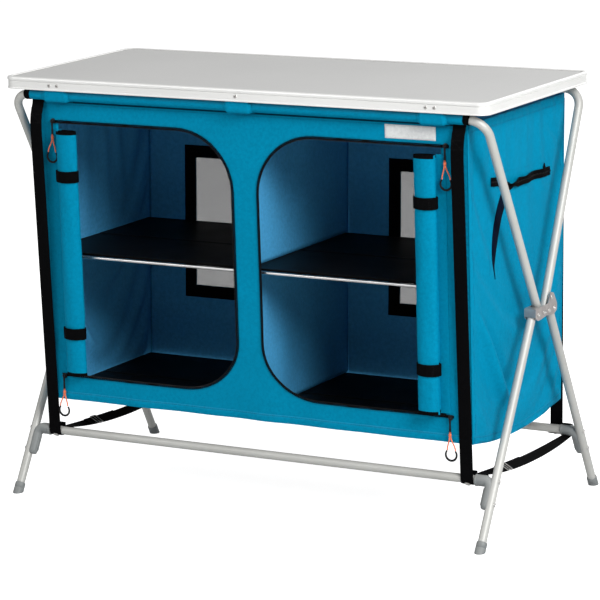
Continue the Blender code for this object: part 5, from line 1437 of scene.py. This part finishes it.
bm = bmesh.new()
lower = [FLOOR_TOP + 0.0006 + (shelf_slot[0] - FLOOR_TOP - 0.0006) * k / 34 for k in range(35)]
upper = [shelf_slot[1] + (SIDE_TOP_Z - shelf_slot[1]) * k / 36 for k in range(37)]
for levels in (lower, upper):
    sheet_faces(bm, [[divider_place(i / 44, z) for i in range(45)] for z in levels])
slot_rear = SHELF_REAR_HIGH.y + 0.0008
sheet_faces(bm, [[Vector((0.0, y, z)) for y in np.linspace(slot_rear, back_y(SLOT_Z) - 0.0030, 4)]
                 for z in shelf_slot])
# The divider is wholly of the lightened reverse, painted light for the shaded inside.
divider = cabinet_piece("divider_cloth", bm, coated_reverse_painted_light, ["divider_panel"], toward=right_out,
                        folds=True)
give_thickness(divider, 0.0010, inner_slot=False)


# Rolled doors
# Each door is a leaf of the blue cloth edged with the zip's tape. It is rolled
# up sideways to a flat bundle and held against the front by two black ties
# that close with a press fastener.

ROLL_X = 0.3730
ROLL_HALF_X, ROLL_HALF_Y = 0.0235, 0.0130
ROLL_LOW, ROLL_HIGH = 0.233, 0.7012
ROLL_OUT = CLOTH / 2 + CLEAR + 0.0012 + ROLL_HALF_Y
TIES_Z = (DOOR_TOP - 0.098, DOOR_LOW + 0.086)
TIE_HALF = 0.011
LEAF = 0.0011


def roll_squeeze(z):
    """The roll is drawn in at its ties and swells a little between them."""
    drawn = max(math.exp(-(((z - tie) / 0.020) ** 2)) for tie in TIES_Z)
    return 1.0 - 0.055 * drawn


def roll_place(side, along_roll, depth, z):
    """From across and out of the roll to where it hangs on the front."""
    return front_at(side * (ROLL_X + along_roll), z, depth)


def offset_line(points, distance):
    shifted = []
    for i, (x, y) in enumerate(points):
        ax, ay = points[max(i - 1, 0)]
        bx, by = points[min(i + 1, len(points) - 1)]
        length = math.hypot(bx - ax, by - ay) or 1.0
        shifted.append((x - (by - ay) / length * distance, y + (bx - ax) / length * distance))
    return shifted


# The leaf from above: from its sewn edge round and in to the core of the roll.
LEAF_TURNS, LEAF_STEPS = 4.5, 118
leaf_line = [(DOOR_OUT + 0.009 - ROLL_X, 0.0014), (DOOR_OUT + 0.002 - ROLL_X, 0.0016), (0.0150, 0.0022)]
for k in range(LEAF_STEPS + 1):
    t = k / LEAF_STEPS
    angle = math.radians(-52.0) - 2 * math.pi * LEAF_TURNS * t
    shrink = 1.0 - 0.80 * t
    leaf_line.append((
        (ROLL_HALF_X - LEAF / 2) * shrink * math.cos(angle) * (1.0 - 0.10 * t),
        ROLL_OUT + (ROLL_HALF_Y - LEAF / 2) * shrink * math.sin(angle),
    ))
leaf_outline = offset_line(leaf_line, LEAF / 2) + offset_line(leaf_line, -LEAF / 2)[::-1]
leaf_heights = [ROLL_LOW, ROLL_LOW + 0.0015, ROLL_LOW + 0.006]
leaf_heights += list(np.linspace(ROLL_LOW + 0.007, ROLL_HIGH - 0.007, 84))
leaf_heights += [ROLL_HIGH - 0.006, ROLL_HIGH - 0.0015, ROLL_HIGH]
for side, word in SIDES:
    bm = bmesh.new()
    rings = []
    for z in leaf_heights:
        ring = []
        squeeze = roll_squeeze(z)
        for x, y in leaf_outline:
            wide = x * squeeze if x < 0.018 else x
            deep = ROLL_OUT + (y - ROLL_OUT) * squeeze if x < 0.018 else y
            angle = math.atan2(y - ROLL_OUT, x)
            radius = math.hypot(x / ROLL_HALF_X, (y - ROLL_OUT) / ROLL_HALF_Y)
            dent = soft(0.0011, math.cos(angle) + side, math.sin(angle), z * 9.0, 1.3)
            dent += 0.0006 * math.sin(angle * 3.0 + z * 40.0 + side) * abs(soft(1.0, z, 2, side, 15))
            dent = min(dent, 0.0006) * min(radius, 1.0)
            ring.append(bm.verts.new(roll_place(
                side, wide + dent * math.cos(angle), deep + dent * math.sin(angle), z)))
        rings.append(ring)
    stack(bm, rings, caps=False)
    count = len(leaf_line)
    for ring in (rings[0], rings[-1]):
        for k in range(count - 1):
            bm.faces.new((ring[k], ring[k + 1], ring[2 * count - 2 - k], ring[2 * count - 1 - k]))
    for face in bm.faces:
        middle = face.calc_center_median()
        on_roll = abs(middle.x) - ROLL_X < 0.0180
        at_end = middle.z < ROLL_LOW + 0.0060 or middle.z > ROLL_HIGH - 0.0060
        face.material_index = 1 if on_roll and at_end else 0
    leaf = cabinet_piece(f"rolled_leaf_{word}", bm, [blue_cloth, black_tape], [f"rolled_door_{word}"])

    bm = bmesh.new()
    stitches = bmesh.new()
    for tie in TIES_Z:
        rows, band = [], []
        for k in range(49):
            angle = math.radians(-72.0 + 344.0 * k / 48)
            band.append(((ROLL_HALF_X + 0.0006) * math.cos(angle),
                         ROLL_OUT + (ROLL_HALF_Y + 0.0005) * math.sin(angle)))
        for share, grow in ((-1.0, 0.0), (-0.97, 0.0009), (-0.6, 0.0011), (0.6, 0.0011),
                            (0.97, 0.0009), (1.0, 0.0)):
            z = tie + TIE_HALF * share
            row = []
            for (x, y), (nx, ny) in zip(band, offset_line(band, grow)):
                squeeze = roll_squeeze(tie) if abs(x) <= ROLL_HALF_X + 0.001 else 1.0
                if math.hypot(nx, ny - ROLL_OUT) > math.hypot(x, y - ROLL_OUT):
                    mx, my = nx, ny
                else:
                    mx, my = 2 * x - nx, 2 * y - ny
                sag = 0.0011 * math.sin(math.pi * (x + ROLL_HALF_X) / (2 * ROLL_HALF_X))
                row.append(roll_place(side, mx * squeeze, ROLL_OUT + (my - ROLL_OUT) * squeeze,
                                      z - (sag if my > ROLL_OUT else 0.0)))
            rows.append(row)
        sheet_faces(bm, rows)
        end_x = ROLL_HALF_X * math.cos(math.radians(52.0)) - 0.002
        end_y = ROLL_OUT + ROLL_HALF_Y * math.sin(math.radians(52.0)) + 0.0021
        for offset in (0.0, 0.0022):
            sew(stitches, [roll_place(side, end_x + offset, end_y - offset * 0.35, z)
                           for z in np.linspace(tie - 0.0085, tie + 0.0085, 8)], front_out)
    cabinet_piece(
        f"door_ties_{word}", bm, black_tape, sharp=50.0,
        toward=lambda p: Vector((
            p.x - side * ROLL_X, (p.y - front_at(side * ROLL_X, p.z, ROLL_OUT).y) * 1.6, 0.0)))
    cabinet_piece(f"door_tie_stitches_{word}", stitches, black_thread)


# Zips
# A black coil zip runs round each door opening. Its tape is sewn to the edge
# of the cloth, and two sliders park at the outer ends, each with a black tab,
# an orange cord and a moulded black grip.

ZIP_END = DOOR_OUT + 0.016
TOOTH_PITCH = 0.0019
coil_plastic = speckled(
    "black zip coil", (24, 24, 26), (18, 18, 20), (34, 34, 36), 2600.0, 90.0, (0.30, 0.45),
    sockets={"Specular IOR Level": 0.2})
for side, word in SIDES:
    bm = bmesh.new()
    for bands in (
        ((-0.0010, 0.0010), (-0.0008, 0.0017), (0.0008, 0.0019), (0.0036, 0.0018), (0.0042, 0.0016),
         (0.0043, 0.0008)),
        ((0.0005, -0.0008), (0.0060, -0.0010)),
    ):
        sheet_faces(bm, [[front_at(x, z, out) for x, z in door_edge(side, grow, ZIP_END)]
                         for grow, out in bands])
    cabinet_piece(f"zip_tape_{word}", bm, black_tape, [f"door_zip_{word}"], 50.0, front_out)

    bm = bmesh.new()
    edge = [front_at(x, z, 0.0021) for x, z in door_edge(side, -0.0004, ZIP_END, 24)]
    rise = Vector((0, -0.0006, 0))
    for middle, way in walk(edge, TOOTH_PITCH, 0.0):
        across = way.cross(Vector((0, -1, 0))).normalized() * 0.0011
        coil = [middle - across, middle - across + rise, middle + across + rise + way * 0.0005,
                middle + across + way * 0.0005]
        sweep(bm, coil, 0.00036, 5, way)
    cabinet_piece(f"zip_coil_{word}", bm, coil_plastic, sharp=50.0)

SLIDER_X, SLIDER_DEEP, PIN_OUT = DOOR_OUT + 0.010, 0.0030, 0.00225
SLIDER_ZS = {"top": DOOR_TOP + 0.003, "bottom": DOOR_LOW - 0.003}
black_metal = speckled(
    "black lacquered zinc", (30, 30, 32), (22, 22, 24), (52, 52, 54), 2500.0, 120.0, (0.25, 0.40),
    tones=(0.35, 0.75), sockets={"Metallic": 0.5})
black_rubber = speckled(
    "black rubber grip", (20, 20, 22), (9, 9, 11), (18, 18, 20), 2200.0, 70.0, (0.5, 0.65),
    follows="Patches", bump=(0.00008, 0.5), sockets={"Specular IOR Level": 0.2})
orange_cord, tree, shader = new_material("orange braided cord", tint(236, 106, 62))
weave = use(tree, woven, {"Threads per Metre": 6500.0, "Unevenness": 0.3}).outputs
colour = two_tones(tree, weave["Height"], -0.5, 0.9, tint(228, 98, 50), tint(248, 134, 84))
finish_surface(tree, shader, colour, weave["Wear"], (0.55, 0.7), (weave["Height"], 0.0002, 0.7),
               {"Sheen Weight": 0.25})


def rounded_plate(bm, outline, low, high, place, bevel=0.0003):
    """A flat plate with softened edges; place(u, v, w) turns it into a world point."""
    bottom = [bm.verts.new(place(u, v, low)) for u, v in outline]
    top = [bm.verts.new(place(u, v, high)) for u, v in outline]
    made = [bm.faces.new(bottom), bm.faces.new(top)]
    skin(bm, bottom, top)
    edges = [e for face in made for e in face.edges]
    bmesh.ops.bevel(bm, geom=edges, offset=bevel, segments=2, affect="EDGES", profile=0.6)


for side, side_word in SIDES:
    for end, z in SLIDER_ZS.items():
        word = f"{end}_{side_word}"
        pull_body = f"pull_{word}"
        x = side * SLIDER_X
        back = front_y(z) - CLOTH / 2 - CLEAR

        def on_slider(u, v, w):
            """A point across, up and out from the middle of the slider's back."""
            return Vector((x + u, back - w, z + v))

        def on_pull(u, v=0.0, w=0.0):
            """A point across, up and out from the middle of the pull's pin."""
            return Vector((x + u, back - SLIDER_DEEP - PIN_OUT - w, z + v))

        bm = bmesh.new()
        body = [(-0.0030, -0.0045), (0.0030, -0.0045), (0.0035, -0.0015), (0.0035, 0.0030),
                (0.0012, 0.0045), (-0.0012, 0.0045), (-0.0035, 0.0030), (-0.0035, -0.0015)]
        for low, high in ((0.0, 0.0009), (0.0020, SLIDER_DEEP)):
            rounded_plate(bm, body, low, high, on_slider)
        for offset in (-0.0030, 0.0030):
            wall_outline = [(offset - 0.0005, -0.004), (offset + 0.0005, -0.004),
                            (offset + 0.0005, 0.003), (offset - 0.0005, 0.003)]
            rounded_plate(bm, wall_outline, 0.0005, 0.0025, on_slider, 0.0001)
        for offset in (-0.0026, 0.0026):
            lug = [on_slider(offset, v, w) for v, w in (
                (-0.0022, 0.0028), (-0.0018, 0.0052), (0.0, 0.0066), (0.0018, 0.0052),
                (0.0022, 0.0028))]
            sweep(bm, lug, 0.00055, 8, Vector((1, 0, 0)))
        pin = [on_pull(-0.0026, w=0.0006), on_pull(0.0026, w=0.0006)]
        sweep(bm, pin, 0.0005, 8, Vector((0, 0, 1)))
        cabinet_piece(f"zip_slider_{word}", bm, black_metal, sharp=40.0)

        bm = bmesh.new()
        tab = [(-0.0017, 0.0018), (-0.0019, 0.0), (-0.0017, -0.0060), (-0.0014, -0.0120),
               (-0.0017, -0.0190), (-0.0020, -0.0235), (-0.0014, -0.0258)]
        tab += [(-u, v) for u, v in tab[::-1]]
        rounded_plate(bm, tab, -0.0008, 0.0008, on_pull)
        full_turn = np.linspace(0, 2 * math.pi, 17)
        ring = [on_pull(0.0022 * math.cos(a), -0.0262 + 0.0022 * math.sin(a)) for a in full_turn]
        sweep(bm, ring, 0.0006, 8, Vector((0, 1, 0)), caps=False)
        finish_piece(f"pull_tab_{word}", bm, black_rubber, pull_body, [f"zip_pull_{word}"],
                     40.0)

        bm = bmesh.new()
        for turn in range(3):
            down = -0.0300 - 0.0015 * turn
            hitch = [on_pull(0.0019 * math.cos(a), down + 0.0004 * math.sin(a + turn),
                             -0.0015 * math.sin(a)) for a in full_turn]
            sweep(bm, hitch, 0.00095, 8, Vector((0, 0, 1)), caps=False)
        eye = [on_pull(0.0012 * math.cos(a), -0.0272 + 0.0020 * math.sin(a), 0.0002)
               for a in np.linspace(math.pi * 0.9, -math.pi * 1.9, 16)]
        sweep(bm, eye, 0.00085, 8, Vector((0, 1, 0)), caps=False)
        for way in (-1, 1):
            strand = []
            for t in np.linspace(0, 1, 18):
                bow = t * t * (3 - 2 * t)
                spread = 0.0008 + (0.0095 if way == side else 0.0050) * bow
                strand.append(on_pull(way * spread, -0.0335 - 0.0255 * t, -0.0004 * way * (1 - t)))
            sweep(bm, strand, 0.00120, 10, Vector((0, 1, 0)))
        finish_piece(f"pull_cord_{word}", bm, orange_cord, pull_body, (), 50.0)

        bm = bmesh.new()
        grip, radii = [], []
        for k in range(33):
            a = math.radians(140.0 + 262.0 * k / 32)
            grip.append(on_pull(side * (0.0018 + 0.0108 * math.cos(a)), -0.0672 + 0.0108 * math.sin(a)))
            radii.append(0.00155 + 0.0005 * math.sin(math.pi * k / 32))
        sweep(bm, grip, radii, 10, Vector((0, 1, 0)))
        finish_piece(f"pull_grip_{word}", bm, black_rubber, pull_body, (), 50.0)


# Side opening
# The right-hand wall has a second way in: a slit closed by a zip along its top
# and its front edge. It hangs a little open, and the shade in the gap is painted
# as a near-black curved stripe; the zip's tape twists where it turns the corner.

right_wall = walls[1]


def wall_at(y, z, out=0.0):
    """A point of the right-hand wall near that y and z."""
    v = min(max((z - HEM_Z + 0.010) / (SIDE_TOP_Z - HEM_Z + 0.010), 0.0), 1.0)
    front, back = (sample_wall(right_wall, 1, t, v).y for t in (0.0, 1.0))
    t = (y - front) / (back - front)
    foot = side_foot(min(max(t, 0.0), 1.0))
    return sample_wall(right_wall, 1, t, (z - foot) / (SIDE_TOP_Z - foot), out)


SLIT_LOW, SLIT_TURN = 0.467, 0.630
bm = bmesh.new()
rows = []
for k in range(41):
    t = k / 40
    z = SLIT_LOW + (SLIT_TURN - SLIT_LOW) * t
    width = 0.0285 * math.sin(math.pi * min(t * 0.66 + 0.015, 1.0)) ** 1.15
    middle = -0.105 + 0.013 * t + 0.046 * t ** 3
    rows.append([wall_at(middle + width * share * 0.5, z, out) for share, out in (
        (-1.0, 0.0004), (-0.9, 0.0016), (0.0, 0.0010), (0.9, 0.0016), (1.0, 0.0004))])
sheet_faces(bm, rows)
# The stripe is painted shade: a near-black sheet where the open slit lies in shadow.
slit_painted_shade = cloth_material(
    "painted shade in the open slit", tint(6, 14, 30), tint(9, 20, 40), 5200.0, 0.7, 0.0, 0.00008, 0.0)
cabinet_piece("side_slit_painted_shade", bm, slit_painted_shade, toward=right_out, folds=True)

bm = bmesh.new()
teeth = bmesh.new()
rows = []
previous = None
for k in range(71):
    t = k / 70
    if t < 0.30:
        u = t / 0.30
        y = -0.114 + 0.062 * u
        z = 0.6420 - 0.006 * u - 0.020 * max(u - 0.45, 0.0)
    else:
        u = (t - 0.30) / 0.70
        y = -0.052 + 0.188 * u
        z = 0.6250 + 0.0035 * min(u * 2.2, 1.0) ** 0.7 - 0.004 * u
    twist = 1.25 * math.exp(-(((t - 0.36) / 0.09) ** 2)) - 0.6 * math.exp(-(((t - 0.55) / 0.07) ** 2))
    c, s = math.cos(twist), math.sin(twist)
    rows.append([wall_at(y, z + half * c, 0.0026 + abs(half * s))
                 for half in (-0.0080, -0.0048, 0.0, 0.0048, 0.0080)])
    spine = wall_at(y, z, 0.0033)
    if previous is None or (spine - previous).length > 0.0020:
        tooth = [wall_at(y, z - 0.0016 * c, 0.0034), wall_at(y + 0.0004, z + 0.0016 * c, 0.0036)]
        sweep(teeth, tooth, 0.0005, 6, Vector((0, 1, 0)))
        previous = spine
sheet_faces(bm, rows)
tab = [(0.103, 0.6300), (0.108, 0.6425), (0.110, 0.6425), (0.117, 0.6300)]
bm.faces.new([bm.verts.new(wall_at(y, z, 0.0030)) for y, z in tab])
side_tape = cabinet_piece("side_zip_tape", bm, black_tape, toward=right_out,
                          folds=True)
give_thickness(side_tape, 0.0010, inner_slot=False)
cabinet_piece("side_zip_teeth", teeth, black_metal, sharp=50.0, folds=True)

bm = bmesh.new()
upright = [(-0.1275 + 0.004 * (z - 0.462) / 0.17, z) for z in np.linspace(0.462, 0.632, 56)]
level = [(y, 0.6560 - 0.014 * (y + 0.114) / 0.25) for y in np.linspace(-0.114, 0.140, 60)]
for seam in (upright, level):
    sew(bm, [wall_at(y, z, 0.0004) for y, z in seam], right_out)
cabinet_piece("side_opening_stitches", bm, blue_thread_darkened_as_shade, folds=True)


# Shelf and floor
# Stiff fibreboards sewn into black covers, two to a level and folding in the
# middle. The shelf hangs on two bright steel rods through loops in the walls;
# the floor lies in the cabinet's foot.

board_cover = cloth_material(
    "black board cover", tint(3, 3, 4), tint(6, 6, 7), 2400.0, 0.40, 0.0, 0.00012, 0.006)

SEAM_IN = 0.0060


def board_steps(low, high, lip, count):
    """Places from edge to edge of a board, close together at its lip and its seam."""
    middle = np.linspace(low + 0.02, high - 0.02, count)
    return [low, low + lip, low + SEAM_IN, *middle, high - SEAM_IN, high - lip, high]


for level, end in (("shelf", "front"), ("shelf", "rear"), ("floor", "front"), ("floor", "rear")):
    low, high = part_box(f"{level}_board_{end}")
    middle, half = (low.z + high.z) / 2, (high.z - low.z) / 2
    bm = bmesh.new()
    for up in (1, -1):
        rows = []
        for y in board_steps(low.y, high.y, 0.0015, 14):
            row = []
            for x in board_steps(low.x, high.x, 0.002, 60):
                edge = min(x - low.x, high.x - x, y - low.y, high.y - y)
                rise = half * math.sqrt(max(1 - (1 - min(edge / 0.0020, 1.0)) ** 2, 0.0))
                groove = 0.0004 if abs(edge - SEAM_IN) < 0.0009 else 0.0
                dip = 0.0005 if abs(x) < 0.0014 and up > 0 else 0.0
                row.append(Vector((x, y, middle + up * (rise - min(groove + dip, rise)))))
            rows.append(row)
        sheet_faces(bm, rows)
    bmesh.ops.remove_doubles(bm, verts=bm.verts, dist=0.00002)
    cover = f"{level}_cover_{end}"
    finish_piece(cover, bm, board_cover, f"{level}_{end}", [f"{level}_board_{end}"], 50.0)
    bm = bmesh.new()
    left, right, near, far = low.x + SEAM_IN, high.x - SEAM_IN, low.y + SEAM_IN, high.y - SEAM_IN
    seam = [(left, near), (right, near), (right, far), (left, far), (left, near)]
    for z, up in ((high.z - 0.0001, 1), (low.z + 0.0001, -1)):
        sew(bm, [(x, y, z) for x, y in seam], facing(0, 0, up))
    finish_piece(f"{cover}_stitches", bm, black_thread, f"{level}_{end}", (), 60.0)

rod_steel = speckled(
    "bright drawn steel rod", (206, 206, 206), (192, 192, 192), (216, 216, 216), 1800.0, 30.0,
    (0.16, 0.28), sockets={"Metallic": 0.95})
for word, body in (("front", "cabinet"), ("rear", "shelf_rear")):
    low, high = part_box(f"shelf_rod_{word}")
    centre = (low + high) / 2
    line = [Vector((x, centre.y, centre.z)) for x in (low.x, low.x + 0.0006, high.x - 0.0006, high.x)]
    bm = bmesh.new()
    sweep(bm, line, [0.0023, 0.0030, 0.0030, 0.0023], 20, Vector((0, 0, 1)))
    finish_piece(f"shelf_rod_{word}_steel", bm, rod_steel, body, [f"shelf_rod_{word}"], 35.0)


# Straps
# Black polypropylene webbing of 25 mm hangs from the sleeves at the four
# corners; each strap passes round the lower bar and closes with a press stud.
# Two narrower straps tie the lower bars together, each with a sliding buckle.

WEB = 0.0015
STRAP_X = 0.437
webbing = cloth_material(
    "black ribbed webbing", tint(6, 6, 7), tint(10, 10, 12), 1900.0, 0.70, 0.0, 0.00030, 0.006)


def webbing_band(bm, path, x_middle, width, thickness=WEB, turn=None):
    """Webbing along a path in the side view, with ribs across it and thin selvedges.
    turn(y) tips the band about its own line, its right edge going down."""
    line = [Vector((0.0, y, z)) for y, z in path]
    sheets = []
    for face_sign in (1, -1):
        rows = []
        for i, point in enumerate(line):
            tangent = (line[min(i + 1, len(line) - 1)] - line[max(i - 1, 0)]).normalized()
            upright = Vector((0.0, -tangent.z, tangent.y))
            tip = turn(point.y) if turn else 0.0
            across = Vector((1.0, 0.0, 0.0)) * math.cos(tip) - upright * math.sin(tip)
            upright = Vector((1.0, 0.0, 0.0)) * math.sin(tip) + upright * math.cos(tip)
            middle = point + Vector((x_middle, 0.0, 0.0))
            row = []
            for u in np.linspace(-1.0, 1.0, 9):
                ribbed = abs(u) < 0.88
                rib = 0.00012 if i % 2 and ribbed else 0.0
                lift = thickness / 2 * (1.0 if ribbed else 0.55) - rib
                row.append(middle + across * (u * width / 2) + upright * face_sign * lift)
            rows.append(row)
        sheets.append(sheet_faces(bm, rows))
    first, second = sheets
    for i in range(len(first) - 1):
        for k in (0, -1):
            bm.faces.new((first[i][k], first[i + 1][k], second[i + 1][k], second[i][k]))
    for i in (0, -1):
        for k in range(len(first[i]) - 1):
            bm.faces.new((first[i][k], first[i][k + 1], second[i][k + 1], second[i][k]))


def spaced_line(points, pitch):
    """The same line in the side view with points at an even spacing."""
    points = [Vector((0.0, *p)) for p in points]
    lengths = [0.0]
    for a, b in zip(points, points[1:]):
        lengths.append(lengths[-1] + (b - a).length)
    count = max(int(lengths[-1] / pitch), 2)
    made = []
    for k in range(count + 1):
        distance = lengths[-1] * k / count
        i = max(min(int(np.searchsorted(lengths, distance)) - 1, len(points) - 2), 0)
        share = (distance - lengths[i]) / max(lengths[i + 1] - lengths[i], 1e-9)
        point = points[i].lerp(points[i + 1], min(max(share, 0.0), 1.0))
        made.append((point.y, point.z))
    return made


def strap_place(line, distance):
    """The place that far down a strap from its sewn end."""
    for start, end in zip(line, line[1:]):
        length = math.dist(start, end)
        if distance <= length:
            return along(start, heading(start, end), distance)
        distance -= length
    return line[-1]


reach = TUBE_R + CLEAR + WEB / 2
front_line = [(-0.2094, SLEEVE_SEAM_Z + 0.0010), (-0.2112, 0.7480), (-0.2150, 0.7400),
              (-0.2186, 0.7290), (-0.2206, 0.7160), (-0.2210, 0.7000)]
front_line += arc_points(FRONT_BAR, reach, 180, 350, 18)
front_line.append((front_line[-1][0], front_line[-1][1] + 0.016))
rear_line = [(REAR_RAIL[0] + SLEEVE_R + CLOTH / 2 + CLEAR + WEB / 2, RAIL_Z)]
rear_line += arc_points(REAR_BAR, reach, 360, 248, 14)
STUD_PROFILE = (
    (0.0, 0.0052), (0.0005, 0.0056), (0.0011, 0.0054), (0.0014, 0.0047), (0.0012, 0.0040),
    (0.0009, 0.0030), (0.0010, 0.0012),
)
lean = math.radians(52.0)
for side, word in SIDES:
    for line, bar, way, end in (
        (front_line, FRONT_BAR, -1, "front"), (rear_line, REAR_BAR, 1, "rear"),
    ):
        bm = bmesh.new()
        webbing_band(bm, spaced_line(line, 0.0016), side * STRAP_X, 0.025)
        cabinet_piece(f"{end}_corner_strap_{word}", bm, webbing, [f"{end}_strap_{word}"],
                      40.0, folds=True)
        bm = bmesh.new()
        stud_way = Vector((0, way * math.cos(lean), -math.sin(lean)))
        seat = side_point(side * STRAP_X, bar) + stud_way * (reach + WEB / 2 - 0.0001)
        turned(bm, seat, stud_way, STUD_PROFILE, 28)
        cabinet_piece(f"{end}_strap_stud_{word}", bm, bright_steel, (), 40.0, folds=True)
        bm = bmesh.new()
        box = []
        for u, down in ((-1, 0.030), (1, 0.030), (1, 0.046), (-1, 0.046), (-1, 0.030), (1, 0.046)):
            place = side_point(side * STRAP_X + u * 0.0095, strap_place(line, down))
            box.append(place + Vector((0, way, 0)) * (WEB / 2 + 0.0001))
        sew(bm, box, facing(0, way, 0))
        cabinet_piece(f"{end}_strap_stitches_{word}", bm, black_thread, (), folds=True)

CROSS_HALF = 0.0185 / 2
cross_places = (
    ("left", -(STRAP_X - 0.0125 - CROSS_HALF - 0.001), TUBE_R),
    ("right", LEG_X - SOCKET_END + CROSS_HALF + 0.001, ELBOW_R),
)


def cross_line(hold_r):
    """Round the front bar, a sagging run to the rear bar, and round that."""
    outside = hold_r + CLEAR + WEB / 2
    start = (FRONT_BAR[0], FRONT_BAR[1] + outside)
    end = (REAR_BAR[0], REAR_BAR[1] - outside)
    run = []
    for k in range(1, 40):
        t = k / 40
        run.append((start[0] + (end[0] - start[0]) * t,
                    start[1] + (end[1] - start[1]) * t - 0.010 * 4 * t * (1 - t)))
    round_front = arc_points(FRONT_BAR, outside, -72, 95, 22)
    return round_front + run + arc_points(REAR_BAR, outside, -95, 110, 22)


CROSS_TIP = math.radians(38.0)


def cross_tip(y):
    """How far a cross strap leans outwards on its way between the bars."""
    share = min(max((y - FRONT_BAR[0]) / (REAR_BAR[0] - FRONT_BAR[0]), 0.0), 1.0)
    return CROSS_TIP * math.sin(math.pi * share) ** 0.8


for word, x, hold_r in cross_places:
    line = spaced_line(cross_line(hold_r), 0.0016)
    bm = bmesh.new()
    webbing_band(bm, line, x, 2 * CROSS_HALF, turn=cross_tip)
    tail = [p for p in line if -0.118 < p[0] < -0.012]
    tail = [(y, z + (WEB + 0.0002) / math.cos(cross_tip(y))) for y, z in tail if z > 0.100]
    webbing_band(bm, tail, x, 2 * CROSS_HALF - 0.001, thickness=WEB * 0.9, turn=cross_tip)
    cross = finish_piece(f"cross_strap_{word}_webbing", bm, webbing, "frame",
                         [f"cross_strap_{word}"], sharp=40.0)
    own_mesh(cross)
    near = min(line, key=lambda p: abs(p[0] + 0.085) + (0 if p[1] > 0.1 else 9))
    far = min(line, key=lambda p: abs(p[0] + 0.065) + (0 if p[1] > 0.1 else 9))
    way = heading(near, far)
    tip = cross_tip(near[0])

    def buckle_point(across, step, rise=0.0030):
        """A point of the buckle, which lies on the tipped webbing."""
        place = along(near, way, step)
        return Vector((x + across * math.cos(tip) + rise * math.sin(tip), place[0],
                       place[1] - across * math.sin(tip) + rise * math.cos(tip)))

    bm = bmesh.new()
    for step, radius in ((-0.009, 0.0010), (0.0, 0.0008), (0.009, 0.0010)):
        bar = [buckle_point(-0.0098, step), buckle_point(0.0098, step)]
        sweep(bm, bar, radius, 10, Vector((0, 0, 1)))
    for across in (-0.0102, 0.0102):
        rail = [buckle_point(across, -0.0095), buckle_point(across, 0.0095)]
        sweep(bm, rail, 0.0011, 10, Vector((0, 0, 1)))
    buckle = finish_piece(f"cross_strap_buckle_{word}", bm, bright_steel, "frame",
                          sharp=40.0)
    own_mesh(buckle)


# Label
# A small woven patch in a pale thread, left bare, with a folded edge and one
# row of stitches all round. It is sewn to the front above the right-hand door.

pale_patch = cloth_material(
    "pale woven patch", tint(214, 216, 216), tint(226, 227, 226), 3600.0, 0.6, 0.15, 0.00010, 0.05)
pale_thread = cloth_material(
    "pale patch thread", tint(196, 198, 198), tint(212, 213, 213), 9000.0, 0.65, 0.2, 0.00003)
LABEL_X, LABEL_Z, LABEL_HALF_X, LABEL_HALF_Z = 0.3385, 0.7368, 0.050, 0.0125
bm = bmesh.new()
rows = []
for v in np.linspace(-1, 1, 15):
    row = []
    for u in np.linspace(-1, 1, 49):
        edge = min((1 - abs(u)) * LABEL_HALF_X, (1 - abs(v)) * LABEL_HALF_Z)
        out = 0.0011 + 0.0008 * min(edge / 0.0012, 1.0) - 0.00025 * (0.0028 < edge)
        row.append(front_at(LABEL_X + u * LABEL_HALF_X, LABEL_Z + v * LABEL_HALF_Z, out))
    rows.append(row)
sheet_faces(bm, rows)
label = cabinet_piece("bare_label", bm, pale_patch, ["label_patch"], toward=front_out)
bm = bmesh.new()
hx, hz = LABEL_HALF_X - 0.0020, LABEL_HALF_Z - 0.0020
ring = box_outline(LABEL_X - hx, LABEL_X + hx, LABEL_Z - hz, LABEL_Z + hz, 0.006)
sew(bm, [front_at(x, z, 0.0020) for x, z in ring + ring[:1]], front_out)
cabinet_piece("label_stitches", bm, pale_thread)
